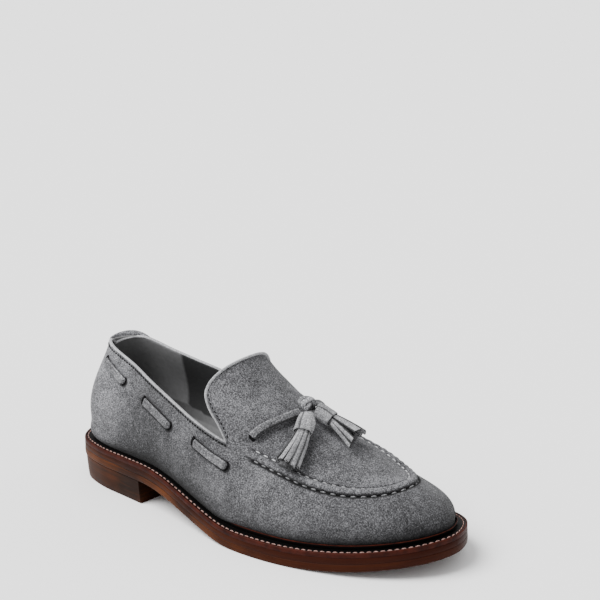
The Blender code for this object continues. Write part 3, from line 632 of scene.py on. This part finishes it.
def suede(name, dark, middle, light, shade="tone"):
    """Suede, the split side of calf: a short nap brushed every way, that scatters light."""
    made, tree, shader = blank(name)
    place = add(tree, "ShaderNodeTexCoord").outputs["Object"]
    # brushed patches 25 mm wide, mottling 4 mm wide, and nap drawn at 0.8 mm so that it shows
    patches = add(tree, "ShaderNodeTexNoise", {"Vector": place, "Scale": 42.0, "Detail": 3.0, "Roughness": 0.55, "Distortion": 0.6})
    mottle = add(tree, "ShaderNodeTexNoise", {"Vector": place, "Scale": 260.0, "Detail": 4.0, "Roughness": 0.65})
    nap = add(tree, "ShaderNodeTexNoise", {"Vector": place, "Scale": 1250.0, "Detail": 3.0, "Roughness": 0.75})
    one = add(tree, "ShaderNodeMath", {0: patches.outputs["Fac"], 1: 0.17}, operation="MULTIPLY")
    two = add(tree, "ShaderNodeMath", {0: mottle.outputs["Fac"], 1: 0.13, 2: one.outputs[0]}, operation="MULTIPLY_ADD")
    three = add(tree, "ShaderNodeMath", {0: nap.outputs["Fac"], 1: 0.70, 2: two.outputs[0]}, operation="MULTIPLY_ADD")
    ramp = add(tree, "ShaderNodeValToRGB", {"Fac": three.outputs[0]})
    ramp.color_ramp.elements[0].position, ramp.color_ramp.elements[0].color = 0.38, linear(dark)
    ramp.color_ramp.elements[1].position, ramp.color_ramp.elements[1].color = 0.62, linear(light)
    ramp.color_ramp.elements.new(0.5).color = linear(middle)
    # the tone attribute multiplies the colour; it carries painted shade and painted highlights as well as the suede's
    # own tone
    tone = add(tree, "ShaderNodeAttribute", attribute_name=shade).outputs["Fac"]
    grey = add(tree, "ShaderNodeCombineColor", {"Red": tone, "Green": tone, "Blue": tone})
    mixed = add(tree, "ShaderNodeMix", {"Factor": 1.0, 6: ramp.outputs["Color"], 7: grey.outputs[0]}, data_type="RGBA", blend_type="MULTIPLY")
    tree.links.new(mixed.outputs[2], shader.inputs["Base Color"])
    hair = add(tree, "ShaderNodeMath", {0: mottle.outputs["Fac"], 1: 0.5, 2: nap.outputs["Fac"]}, operation="MULTIPLY_ADD")
    bump = add(tree, "ShaderNodeBump", {"Height": hair.outputs[0], "Strength": 0.6, "Distance": 0.0006})
    tree.links.new(bump.outputs["Normal"], shader.inputs["Normal"])
    shader.inputs["Roughness"].default_value = 0.95
    shader.inputs["Specular IOR Level"].default_value = 0.15
    shader.inputs["Sheen Weight"].default_value = 0.05
    shader.inputs["Sheen Roughness"].default_value = 0.5
    return made


def raised(points, faces, lifts):
    """Points moved out of their own surface by their lifts."""
    mesh = bpy.data.meshes.new("form")
    mesh.from_pydata([tuple(p) for p in points], [], faces)
    work = bmesh.new()
    work.from_mesh(mesh)
    layer = work.verts.layers.int.new("index")
    for vert in work.verts:
        vert[layer] = vert.index
    bmesh.ops.remove_doubles(work, verts=work.verts, dist=0.02 * MM)
    work.normal_update()
    out = np.array([v.normal for v in work.verts])
    index = np.array([v[layer] for v in work.verts])
    where = np.array([v.co for v in work.verts])
    work.verts.index_update()
    faces = [tuple(v.index for v in f.verts) for f in work.faces]
    work.free()
    bpy.data.meshes.remove(mesh)
    return where + out * np.asarray(lifts)[index][:, None], faces, index


grey_suede = suede("grey_suede", "#19191a", "#474749", "#7e7e81")
points, faces, lifts, tones = build_upper()
points, faces, index = raised(points, faces, lifts)
upper = piece("suede_upper", points, faces, grey_suede, {"tone": np.clip(tones[index], 0.08, 2.0)}, sharp=60)
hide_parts("upper")

# ---- Lining
# Thin calf glued inside the suede: dark grey round the heel, black from the waist on. The two
# meet in an upright seam.
def lining_shade(surface, side, place, share):
    """How light the lining is: heel part, waist part, and a lighter zone low on the inner side, lightest along its
    foot.
    """
    if surface is not wall_points:
        return 0.04
    if side > 0 and place < 3.6 and share < 0.285 - 0.08 * max(place - 2.1, 0):
        return 0.42 if share < 0.15 and place > 2.3 else 0.16 + 0.14 * min(max(place - 1.8, 0), 1)
    return 0.38 if place < 2.12 else 0.04


def build_lining():
    points, faces, shades = [], [], []
    for side in (-1, 1):
        for surface, places, shares in (
            (wall_points, np.linspace(0, LAST, 133), np.linspace(0, 1, 41)),
            (top_points, np.linspace(THROAT, LAST, 61), np.linspace(0, 1, 15)),
            (tongue_points, np.linspace(0, 4, 17), np.linspace(0, 1, 15)),
        ):
            base = len(points)
            for place in places:
                points += list(surface(side, place, shares))
                shades += [lining_shade(surface, side, place, share) for share in shares]
            k = len(shares)
            for i in range(len(places) - 1):
                for j in range(k - 1):
                    face = (base + i * k + j, base + (i + 1) * k + j, base + (i + 1) * k + j + 1, base + i * k + j + 1)
                    turned = (side < 0) == (surface is not tongue_points)
                    faces.append(face if turned else face[::-1])
    return np.array(points), faces, np.array(shades)


def lining_leather():
    made, tree, shader = blank("calf_lining")
    place = add(tree, "ShaderNodeTexCoord").outputs["Object"]
    part = add(tree, "ShaderNodeAttribute", attribute_name="shade").outputs["Fac"]
    grain = add(tree, "ShaderNodeTexNoise", {"Vector": place, "Scale": 320.0, "Detail": 5.0})
    colour = add(tree, "ShaderNodeMix", {"Factor": part, 6: linear("#0d0d0e"), 7: linear("#b4b4b5")}, data_type="RGBA")
    wear_and_light = add(tree, "ShaderNodeMath", {0: grain.outputs["Fac"], 1: 0.4}, operation="MULTIPLY")
    wear_and_light = add(tree, "ShaderNodeMix", {"Factor": wear_and_light.outputs[0], 6: colour.outputs[2], 7: (0, 0, 0, 1)}, data_type="RGBA")
    tree.links.new(wear_and_light.outputs[2], shader.inputs["Base Color"])
    bump = add(tree, "ShaderNodeBump", {"Height": grain.outputs["Fac"], "Strength": 0.3, "Distance": 0.0003})
    tree.links.new(bump.outputs["Normal"], shader.inputs["Normal"])
    shader.inputs["Roughness"].default_value = 0.7
    return made


points, faces, shades = build_lining()
points, faces, index = raised(points, faces, np.full(len(points), -1.0 * MM))
lining = piece("lining", points, faces, lining_leather(), {"shade": shades[index]}, sharp=60)
bpy.context.view_layer.objects.active = lining
wall = lining.modifiers.new("wall", "SOLIDIFY")
wall.thickness, wall.offset = 0.8 * MM, -1
bpy.ops.object.modifier_apply(modifier=wall.name)

# ---- Insole
# The sock: soft grey leather over the board, a little dished from wear.
sock_leather, tree, shader = blank("grey_sock_leather")
place = add(tree, "ShaderNodeTexCoord").outputs["Object"]
grain = add(tree, "ShaderNodeTexNoise", {"Vector": place, "Scale": 420.0, "Detail": 5.0})
ramp = add(tree, "ShaderNodeValToRGB", {"Fac": grain.outputs["Fac"]})
ramp.color_ramp.elements[0].position, ramp.color_ramp.elements[0].color = 0.3, linear("#6c6c6d")
ramp.color_ramp.elements[1].position, ramp.color_ramp.elements[1].color = 0.7, linear("#8e8e8f")
tree.links.new(ramp.outputs["Color"], shader.inputs["Base Color"])
bump = add(tree, "ShaderNodeBump", {"Height": grain.outputs["Fac"], "Strength": 0.25, "Distance": 0.0003})
tree.links.new(bump.outputs["Normal"], shader.inputs["Normal"])
shader.inputs["Roughness"].default_value = 0.75
sock = slab(
    "sock", ((10.9 * MM, 9.3 * MM), (10.9 * MM, 14.6 * MM), (11.2 * MM, 15.0 * MM), (12.2 * MM, 15.2 * MM)), sock_leather,
)
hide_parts("insole")

# ---- Collar binding
# A narrow strip of the suede folded over the raw edge of collar and tongue, and sewn down
# close to it with fine dark thread.
# the binding's suede is a lighter copy of the upper's: a painted highlight along the folded edge
highlit_suede = suede("folded_suede_highlight", "#68686a", "#8a8a8c", "#aeaeb0")


def back_drop(side, place):
    """How far the binding lies below the rim at the heel's back, where a padded roll stands over it."""
    return 3.2 * MM * max(0.0, 1 - place / (1.3 if side > 0 else 0.35)) ** 1.5


def edge_line(side):
    """The collar from the heel's back to the throat, then up the tongue's edge to its middle: a point,
    the way out of the surface, half the strip's height and its lightness, a painted highlight strongest at the heel's
    back."""
    rim = []
    for p in np.linspace(0, THROAT - 0.02, 100):
        drop = back_drop(side, p)
        point, out = spot(wall_points, side, p, 1 - drop / (60 * MM))
        rim.append((*(point - out * drop * 0.4), *out, 0.62 + 0.4 * max(0, 1 - p / 1.6), 1.5 - 0.1 * p))
    flap = []
    for p in np.linspace(0.03, 4, 60):
        point, near = tongue_points(side, p, np.array(0.0)), tongue_points(side, p, np.array(0.03))
        along = tongue_points(side, min(p + 0.05, 4), np.array(0.0)) - tongue_points(side, max(p - 0.05, 0), np.array(0.0))
        flap.append((*point, *unit(np.cross(along, near - point) * -side), 0.5 + 0.05 * p, 0.95 + 0.06 * p))
    top = []
    for s in np.linspace(0.04, 1, 40):
        point, lower = tongue_points(side, 4, np.array(s)), tongue_points(side, 3.9, np.array(s))
        along = tongue_points(side, 4, np.array(min(s + 0.03, 1))) - tongue_points(side, 4, np.array(s - 0.03))
        top.append((*point, *unit(np.cross(point - lower, along) * -side), 0.75, 1.2))
    return rim, flap, top


def swept(rings):
    """Faces round a chain of equal rings, capped at both ends."""
    n, m = rings.shape[:2]
    faces = [(i * m + k, i * m + (k + 1) % m, (i + 1) * m + (k + 1) % m, (i + 1) * m + k) for i in range(n - 1) for k in range(m)]
    return rings.reshape(-1, 3), faces + [tuple(range(m)), tuple((n - 1) * m + k for k in range(m))]


def build_binding():
    line = []
    for side in (-1, 1):
        both = sum(edge_line(side), [])
        line += both if side < 0 else both[::-1][1:]
    line = resampled(np.array(line), 900)
    for _ in range(12):
        line[1:-1] = (line[:-2] + 2 * line[1:-1] + line[2:]) / 4
    turn = np.linspace(0, 2 * math.pi, 12, endpoint=False)
    rings = []
    for row, way in zip(line, np.gradient(line[:, :3], axis=0)):
        out = unit(row[3:6])
        up = unit(np.cross(out, unit(way)))
        rings.append(row[:3] - out * 0.75 * MM + np.outer(np.cos(turn), out) * 1.15 * MM + np.outer(np.sin(turn), up) * row[6] * MM)
    return swept(np.array(rings)), np.repeat(line[:, 7], 12)


(points, faces), tones = build_binding()
binding = piece("collar_binding", points, faces, highlit_suede, {"tone": tones}, sharp=70)

# the padded roll that stands over the binding round the back of the heel, its suede painted lighter than the wall as a
# highlight
line = [rim_point(-1, p) for p in np.linspace(0.30, 0, 14)] + [rim_point(1, p) for p in np.linspace(0, 1.25, 40)[1:]]
line = resampled(np.array(line), 60)
turn = np.linspace(0, 2 * math.pi, 14, endpoint=False)
rings = []
for k, (point, way) in enumerate(zip(line, np.gradient(line, axis=0))):
    full = math.sin(math.pi * (k + 0.5) / 60) ** 0.7
    aside = unit(np.cross(unit(way), (0, 0, 1)))
    rings.append(point - aside * 0.9 * MM + np.array((0, 0, (1.4 * full - 1.2) * MM)) + np.outer(np.cos(turn), aside) * 2.0 * MM * full
                 + np.outer(np.sin(turn), (0, 0, 1)) * 2.7 * MM * full)
points, faces = swept(np.array(rings))
back_roll = piece("back_roll", points, faces, grey_suede, {"tone": np.full(len(points), 2.3)}, sharp=70)


def dark_row(name, surface, side, first, last, offset, pitch, size, along_edge):
    """Fine dark stitches at an even step, a little inside an edge."""
    dense = []
    for p in np.linspace(first, last, 160):
        share = along_edge(p)
        point, out = spot(surface, side, p, share)
        dense.append((*point, *out))
    dense = np.array(dense)
    count = int(np.linalg.norm(np.diff(dense[:, :3], axis=0), axis=1).sum() / pitch)
    dense = resampled(dense, count)
    ways = np.gradient(dense[:, :3], axis=0)
    ways /= np.linalg.norm(ways, axis=1)[:, None]
    made = stitch_row(name, dense[:, :3] + dense[:, 3:] * offset, ways, dense[:, 3:], size, dark_thread)


dark_thread = thread("dark_linen_thread", "#0c0c0c", "#030303")
for name, side in (("outer", -1), ("inner", 1)):
    # 2 mm below the binding, with the first of them at the heel's back
    dark_row(f"collar_stitches_{name}", wall_points, side, 0.12, THROAT - 0.05, 0.1 * MM, 2.7 * MM, (1.9 * MM, 1.1 * MM, 0.8 * MM),
             lambda p: 1 - 1.9 * MM / (58 * MM if p < 4 else 46 * MM))
    dark_row(f"tongue_stitches_{name}", tongue_points, side, 0.15, 3.9, 0.15 * MM, 2.7 * MM, (1.9 * MM, 1.0 * MM, 0.8 * MM),
             lambda p: 0.055)

# ---- Apron stitches
# Waxed thread in two rows, by hand: long stitches down in the groove outside the ridge, and
# short ones along the foot of the ridge on the vamp.
def seam_places(pitch, first, shift):
    """Places, along both sides from the throat to the toe, a stitch apart."""
    found = []
    for side in (-1, 1):
        start = np.interp(first, dense_places, rim_run[side])
        for at in np.arange(start, rim_run[side][-1] - 0.3 * pitch, pitch) + shift:
            found.append((side, float(np.interp(at, rim_run[side], dense_places))))
    return found


def lay_stitches(name, surface, offset, pitch, first, shift, size, lift, material, last=LAST):
    middles, ways, outs = [], [], []
    for side, place in seam_places(pitch, first, shift):
        if place > last:
            continue
        dense = surface(side, place, np.linspace(0, 1, 90))
        way = np.concatenate([[0], np.cumsum(np.linalg.norm(np.diff(dense, axis=0), axis=1))])
        if surface is wall_points:
            share = float(np.interp(way[-1] - offset, way, np.linspace(0, 1, 90)))
        else:
            share = float(np.interp(offset, way, np.linspace(0, 1, 90)))
        point, out = spot(surface, side, place, share)
        ahead = surface(side, min(place + 0.02, LAST), np.array(share)) - surface(side, max(place - 0.02, 0), np.array(share))
        # behind the high part of the ridge the inner row is drawn in deep
        sunk = 0.65 * MM if surface is top_points and side < 0 and place > 7.3 else 0
        middles.append(point + out * (lift - sunk))
        ways.append(unit(ahead - out * (ahead @ out)))
        outs.append(out)
    return stitch_row(name, middles, ways, outs, size, material)


grey_thread = thread("grey_linen_thread", "#88888a", "#444446")
outer_row = lay_stitches("apron_stitches_outer", wall_points, 0.35 * MM, SEAM_PITCH, 6.08, 0.5 * SEAM_PITCH,
                         (3.7 * MM, 1.1 * MM, 1.1 * MM), -0.55 * MM, grey_thread)
inner_row = lay_stitches("apron_stitches_inner", top_points, 5.6 * MM, SEAM_PITCH, 6.18, 0,
                         (3.8 * MM, 0.8 * MM, 0.8 * MM), 0.1 * MM, thread("pale_linen_thread", "#c4c4c6", "#7c7c7e"), last=10.6)

# ---- Lace along the collar
# A flat strap of the same suede, threaded through slots in the wall: three bars of it lie on
# each side, crowned, with their ends tucked into the slots.
LACE_WIDTH, LACE_THICKNESS = 5.2 * MM, 1.7 * MM


def build_bar(side, row):
    start, start_share, end, end_share = row
    rings, tones = [], []
    for t in np.linspace(0, 1, 34):
        place, share = start + t * (end - start), start_share + t * (end_share - start_share)
        point, out = spot(wall_points, side, place, share)
        ahead = wall_points(side, place + 0.01, np.array(share + 0.01 * (end_share - start_share) / (end - start)))
        way = unit(ahead - point)
        aside = unit(np.cross(out, way))
        from_end = min(t, 1 - t) * 29
        tuck = max(0.0, 1 - from_end / 2.6)
        wide = LACE_WIDTH / 2 * math.sqrt(max(1 - tuck**2.4, 0.12))
        turn = np.linspace(0, 2 * math.pi, 32, endpoint=False)
        across, up = np.sign(np.cos(turn)) * np.abs(np.cos(turn)) ** 0.6, np.sign(np.sin(turn)) * np.abs(np.sin(turn)) ** 0.75
        high = LACE_THICKNESS / 2
        middle = point + out * (high + 0.35 * MM - 1.9 * MM * tuck**1.6)
        rings.append(middle + np.outer(across, aside) * wide + np.outer(up, out) * high)
        # painted highlight along the upper cut edge, painted shade along the lower one and where the ends tuck into the
        # slots
        edge = -side * across
        tones.append(1 + 0.8 * np.exp(-(((edge - 0.86) / 0.12) ** 2)) * (up > 0) - 0.7 * (edge < -0.93) - 0.4 * tuck)
    return (*swept(np.array(rings)), np.concatenate(tones))


lace_suede = suede("lace_suede", "#262627", "#4e4e50", "#88888a")
# the cut edge of the suede down in a slot, as painted shade on a near-black lens
dark_slot, tree, shader = blank("slot_shade")
grain = add(tree, "ShaderNodeTexNoise", {"Vector": add(tree, "ShaderNodeTexCoord").outputs["Object"], "Scale": 900.0, "Detail": 2.0})
ramp = add(tree, "ShaderNodeValToRGB", {"Fac": grain.outputs["Fac"]})
ramp.color_ramp.elements[0].position, ramp.color_ramp.elements[0].color = 0.35, linear("#040404")
ramp.color_ramp.elements[1].position, ramp.color_ramp.elements[1].color = 0.75, linear("#171718")
tree.links.new(ramp.outputs["Color"], shader.inputs["Base Color"])
shader.inputs["Roughness"].default_value = 1.0
shader.inputs["Specular IOR Level"].default_value = 0.05


def cut_slot(name, point, out, way, size):
    """The dark mouth of a slot, painted shade: a lens laid in the wall, long across the lace."""
    bpy.ops.object.select_all(action="DESELECT")
    bpy.ops.mesh.primitive_uv_sphere_add(segments=24, ring_count=12, radius=0.5)
    bpy.ops.transform.resize(value=size)
    aside = unit(np.cross(out, way))
    lens = bpy.context.object
    lens.matrix_world = Matrix.Translation(Vector(point + PLACE)) @ Matrix((unit(way), aside, out)).transposed().to_4x4() @ lens.matrix_world
    bpy.ops.object.transform_apply(location=True, rotation=True, scale=True)
    bpy.ops.object.shade_smooth()
    lens.name = name
    lens.data.materials.append(dark_slot)
    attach(lens, "root")
    return lens


for name, side in (("outer", -1), ("inner", 1)):
    for k, row in enumerate(BARS, 1):
        points, faces, tones = build_bar(side, row)
        bar = piece(f"bar_{name}_{k}", points, faces, lace_suede, {"tone": tones}, sharp=60)
        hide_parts(f"lace_bar_{name}_{k}")
        start, start_share, end, end_share = row
        for which, t, back in (("back", 0.0, -0.8), ("front", 1.0, -0.9)):
            point, out = spot(wall_points, side, start + t * (end - start), start_share + t * (end_share - start_share))
            ahead = wall_points(side, start + (t + 0.02) * (end - start), np.array(start_share + (t + 0.02) * (end_share - start_share)))
            way = unit(ahead - point - out * ((ahead - point) @ out))
            cut_slot(f"slot_{name}_{k}_{which}", point + way * back * MM - out * 0.15 * MM, out, way, (3.2 * MM, 6.6 * MM, 0.9 * MM))

# ---- Lace ends
# The strap comes out of its last slot on each side, rolled round, and rises off the vamp in a
# low arch to the knot.
OUTER_ROUTE = ((29.00, -34.90, 69.10), (30.30, -32.40, 71.60), (32.13, -29.33, 73.80), (34.79, -25.22, 75.90),
               (37.02, -20.46, 77.30), (38.83, -14.58, 78.40), (41.03, -4.87, 79.60))
INNER_ROUTE = ((28.39, 30.92, 67.55), (30.73, 27.32, 71.42), (33.82, 23.35, 75.00), (37.39, 17.92, 78.30), (40.71, 6.83, 81.91))
OUT_OF_VAMP = {"outer": (0.42, -0.52, 0.75), "inner": (0.32, 0.50, 0.80)}


def smooth_path(route, steps):
    columns = np.array(route).T
    places = np.linspace(0, len(route) - 1, steps)
    return np.array([[smooth(column, place, "odd", "odd") for column in columns] for place in places])


def strap_rings(path, out, wide, thick, sides=16, square=0.7):
    """Rounded sections along a path; wide and thick are numbers or one for each point."""
    ways = np.gradient(path, axis=0)
    wide, thick = np.broadcast_to(wide, len(path)), np.broadcast_to(thick, len(path))
    turn = np.linspace(0, 2 * math.pi, sides, endpoint=False)
    across = np.sign(np.cos(turn)) * np.abs(np.cos(turn)) ** square
    up = np.sign(np.sin(turn)) * np.abs(np.sin(turn)) ** square
    rings = []
    for point, way, w, t in zip(path, ways, wide, thick):
        aside = unit(np.cross(out, way))
        over = unit(np.cross(way, aside))
        rings.append(point + np.outer(across, aside) * w / 2 + np.outer(up, over) * t / 2)
    return np.array(rings)


lace_ends = {}
for name, route in (("outer", OUTER_ROUTE), ("inner", INNER_ROUTE)):
    path = smooth_path(np.array(route) * MM - PLACE, 40)
    taper = np.ones(40)
    taper[:4] = (0.90, 0.97, 1.0, 1.0)
    points, faces = swept(strap_rings(path, np.array(OUT_OF_VAMP[name]), 5.4 * MM * taper, 2.8 * MM * taper, sides=28))
    # painted highlight along the upper edge, painted shade along the lower edge and underneath
    turn = np.linspace(0, 2 * math.pi, 28, endpoint=False)
    edge = 1 + 0.7 * np.exp(-(((turn - 0.9) / 0.35) ** 2)) - 0.6 * (np.cos(turn) < -0.75) - 0.5 * (np.sin(turn) < -0.2)
    lace_ends[name] = piece(f"lace_{name}", points, faces, lace_suede, {"tone": np.tile(np.clip(edge, 0.1, 2), 40)}, sharp=70)
    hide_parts(f"lace_end_{name}")
    lace_ends[name + "_path"] = path + PLACE
    side = -1 if name == "outer" else 1
    point, out = spot(top_points, side, 5.78, 0.20)
    way = unit(path[6] - path[0] - out * ((path[6] - path[0]) @ out))
    point = path[0] - out * ((path[0] - point) @ out)
    cut_slot(f"slot_{name}_end", point - way * 0.1 * MM - out * 0.1 * MM, out, way, (3.4 * MM, 6.2 * MM, 0.9 * MM))

# ---- Knot
# The two ends cross and are drawn tight in an overhand knot, whose turns stand up in a lump.
KNOT_MIDDLE = np.array((42.40, 1.16, 83.75)) * MM - PLACE
KNOT_OUT = unit(np.array((0.481, 0.065, 0.874)))
KNOT_TURNS = (
    # where each turn passes, in millimetres: towards the toe, the inner side and out of the vamp
    ((-3.6, -3.0, -2.2), (-3.2, -2.0, 1.6), (-0.6, -0.6, 3.2), (2.6, 1.4, 2.2), (3.6, 2.6, -1.6)),
    ((-2.2, 4.2, -2.0), (-2.6, 3.2, 1.0), (-0.4, 0.6, 2.6), (2.2, -2.2, 1.8), (3.0, -4.0, -1.8)),
    ((0.6, -4.8, -1.6), (0.0, -4.2, 1.4), (0.4, 0.0, 3.6), (0.0, 4.2, 1.4), (0.6, 4.9, -1.6)),
    ((-3.4, 0.4, -2.6), (-1.2, 0.6, -0.4), (1.6, 0.2, -0.4), (3.8, -0.4, -2.6)),
)
toe_way = unit(np.array((1, 0, 0)) - KNOT_OUT * KNOT_OUT[0])
inner_way = np.cross(KNOT_OUT, toe_way)
points, faces, tones = [], [], []
# painted light: the highest turn is lightest and the lowest darkest, with painted shade along each turn's edges between
# turns
for turn, shade in zip(KNOT_TURNS, (1.5, 1.7, 2.4, 0.6)):
    path = smooth_path(np.array(turn) * MM, 22) @ np.array((toe_way, inner_way, KNOT_OUT)) + KNOT_MIDDLE
    rings, more = swept(strap_rings(path, KNOT_OUT, 4.0 * MM, 2.6 * MM, sides=14))
    faces += [tuple(i + len(points) for i in face) for face in more]
    points += list(rings)
    tones += [shade * (0.35 if abs(math.cos(2 * math.pi * k / 14)) > 0.85 else 1) for _ in range(22) for k in range(14)]
knot = piece("lace_knot", points, faces, lace_suede, {"tone": tones}, sharp=70)
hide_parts("knot")

# ---- Tassels
# A cap of suede wound twice round the lace's end and sewn, and under it a fringe cut from one
# strip and rolled, so that its tails lie flat on each other and open towards their ends.
TASSEL_LENGTH, CAP_LENGTH = 39 * MM, 14.5 * MM
TASSEL_LINES = {
    "outer": ((45.68, -2.71, 80.98), (51.60, -11.15, 75.30), (59.80, -33.60, 61.60), (0.205, -0.433, 0.878)),
    "inner": ((46.25, 4.07, 80.76), (55.20, 8.30, 74.92), (78.74, 9.80, 63.96), (0.442, 0.104, 0.891)),
}
# each tail: turn round the axis from the side edge over the top, width at its end, roll, length and
# how far out it stands at its end
TAILS = {
    "outer": ((16, 5.4, -8, 1.05, 1.0), (60, 3.9, 18, 1.08, 1.0), (96, 3.6, 24, 1.10, 1.0), (134, 4.4, 14, 1.13, 1.0), (176, 4.4, 0, 1.08, 0.95),
              (222, 4.6, 0, 1.03, 1.0), (262, 4.6, 10, 1.0, 1.0), (300, 4.6, 0, 1.02, 1.0), (342, 4.6, 0, 1.04, 1.05),
              (50, 3.6, 40, 1.13, 0.72), (95, 3.6, 20, 1.15, 0.68), (140, 4.0, 20, 1.16, 0.72)),
    "inner": ((84, 6.0, 4, 0.88, 1.1), (30, 3.4, -22, 0.97, 1.3), (358, 3.4, -10, 1.0, 1.45), (128, 4.6, 10, 0.92, 1.1), (172, 4.8, 0, 0.86, 1.0),
              (215, 5.0, 0, 0.84, 0.9), (258, 5.0, 0, 0.84, 0.9), (308, 4.6, 0, 0.88, 1.0), (110, 3.6, 30, 0.82, 0.5), (250, 4.0, 0, 0.82, 0.5)),
}


def tassel_frame(name, share):
    start, _, end, out = (np.array(p) for p in TASSEL_LINES[name])
    start, end = start * MM - PLACE, end * MM - PLACE
    middle = np.array(TASSEL_LINES[name][1]) * MM - PLACE
    at = CAP_LENGTH / TASSEL_LENGTH
    bend = (middle - start - (end - start) * at) / (at * (1 - at))
    down = unit(end - start + bend * (1 - 2 * share))
    aside = unit(np.cross(down, out))
    return start + (end - start) * share + bend * share * (1 - share), down, aside, np.cross(aside, down)


def build_tassel(name, seed):
    chance = random.Random(seed)
    points, faces, tones = [], [], []

    def join(rings, shades):
        made, more = swept(np.array(rings))
        faces.extend(tuple(i + len(points) for i in face) for face in more)
        points.extend(made)
        tones.extend(np.repeat(shades, len(rings[0])))

    # the cap starts a little down the line, clear of the knot
    cap_start, cap = (0.09, 0.53) if name == "outer" else (0.0, 0.40)
    turn = np.linspace(0, 2 * math.pi, 56, endpoint=False)
    # the cap is wound like a scroll, so its outer edge makes a step down its front
    scroll = ((turn - math.radians(62)) % (2 * math.pi)) / (2 * math.pi)
    rings = []
    steps = np.concatenate([[0.0, 0.01, 0.03, 0.06], np.linspace(0.1, 0.93, 18), [0.97, 0.99, 1.0, 1.0, 0.99, 0.97]])
    for k, t in enumerate(steps):
        point, down, aside, out = tassel_frame(name, cap_start + t * (cap - cap_start))
        slim = 0.60 if name == "outer" else 0.78
        wide = (12.6 if name == "outer" else 13.2) * (slim + (1 - slim) * math.sin(min(t * 1.35, 1) * math.pi / 2) ** 0.8)
        lip = math.sqrt(min(1, max(t, 0.004) / 0.06)) * (1, 0.99, 0.96, 0.88, 0.84, 0.80)[max(0, k - len(steps) + 6)]
        fold = 1 + 0.035 * np.sin(3 * turn + 7 * t) + 0.02 * np.sin(8 * turn - 6 * t) + 0.11 * (scroll - 0.5)
        flare = 1 - 0.06 * max(t - 0.5, 0) / 0.5
        rings.append(point + (np.outer(np.cos(turn) * fold, aside) + np.outer(np.sin(turn) * fold, out) * 0.74) * wide * MM / 2 * lip * flare)
    # painted shade on the underside of the cap's lip
    shades = np.where(steps > 0.96, 0.9, 1.0) * np.where(np.arange(len(steps)) >= len(steps) - 3, 0.15, 1.0)
    join(rings, shades)
    # painted shade along the scroll's step
    tones[-len(steps) * 56 :] = list((shades[:, None] * np.where(scroll < 0.03, 0.3, 1.0)).ravel())
    # painted shade: a near-black core inside the fringe stands for the shadowed inner tails
    rings = []
    for t in np.linspace(0.7 * cap, 0.9 if name == "outer" else 0.78, 14):
        point, down, aside, out = tassel_frame(name, t)
        grow = (t - cap) / (1 - cap)
        rings.append(point + np.outer(np.cos(turn), aside) * (3.6 + 1.6 * grow) * MM + np.outer(np.sin(turn), out) * (2.6 + 1.0 * grow) * MM)
    join(rings, np.full(14, 0.10))
    for spin, end_width, roll, length, stand in TAILS[name]:
        spin, roll = math.radians(spin), math.radians(roll)
        level, upright = math.cos(spin), math.sin(spin)
        inside = stand < 0.8
        # painted shade on the inner tails and on those on the underside
        shade = chance.uniform(0.9, 1.15) * (0.25 if inside else 1.0) * (1.0 if upright > -0.3 else 0.7)
        swing, rings = chance.uniform(-0.3, 0.3) * MM, []
        steps = np.concatenate([np.linspace(0, 0.97, 24), [1.0, 1.0]])
        for k, t in enumerate(steps):
            share = 0.75 * cap + t * (length - 0.75 * cap)
            point, down, aside, out = tassel_frame(name, share)
            near = aside * level * 3.9 * MM + out * upright * 2.8 * MM
            far = aside * level * 7.2 * MM * stand + out * upright * 5.2 * MM * min(stand, 1.1)
            grow = max(0.0, (share - cap) / (length - cap))
            off = (near + (far - near) * grow**1.1) * (1.0 if not inside else 0.8) + aside * swing * math.sin(3 * t)
            flat, thick = unit(np.cross(down, off)), unit(off)
            turned = flat * math.cos(roll * t) + thick * math.sin(roll * t)
            over = thick * math.cos(roll * t) - flat * math.sin(roll * t)
            wide = (min(2.7, end_width) + max(end_width - 2.7, 0) * min(1.3 * t, 1) ** 0.8) * MM * (0.9 if k == len(steps) - 1 else 1)
            corner = np.linspace(0, 2 * math.pi, 14, endpoint=False) + math.pi / 14
            across = np.sign(np.cos(corner)) * np.abs(np.cos(corner)) ** 0.25
            up = np.sign(np.sin(corner)) * np.abs(np.sin(corner)) ** 0.35
            crown = 0.5 * MM * (0.5 - across**2)
            rings.append(point + off + np.outer(across, turned) * wide / 2 + np.outer(up * 0.62 * MM + crown, over))
        # painted shadow under the cap's lip at each tail's root, and painted shade on its end
        root = 0.25 * cap / (length - 0.75 * cap)
        shades = shade * (1 - 0.75 * np.exp(-(((steps - root - 0.01) / 0.05) ** 2)))
        shades[-1] = 0.12
        # painted shade along a tail's side edges, as dark lines between the tails
        join(rings, shades)
        tones[-len(steps) * 14 :] = list((shades[:, None] * (1 - 0.85 * (np.abs(across) > 0.93))).ravel())
    return points, faces, tones


tassel_suede = suede("tassel_suede", "#4c4c4e", "#7e7e80", "#b4b4b6")
tassels = {}
for name, seed in (("outer", 4), ("inner", 9)):
    points, faces, tones = build_tassel(name, seed)
    tassels[name] = piece(f"suede_tassel_{name}", points, faces, tassel_suede, {"tone": tones}, sharp=50)
    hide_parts(f"tassel_{name}")
for name, extra in (("outer", [knot, tassels["outer"]]), ("inner", [tassels["inner"]])):
    path = lace_ends[name + "_path"]
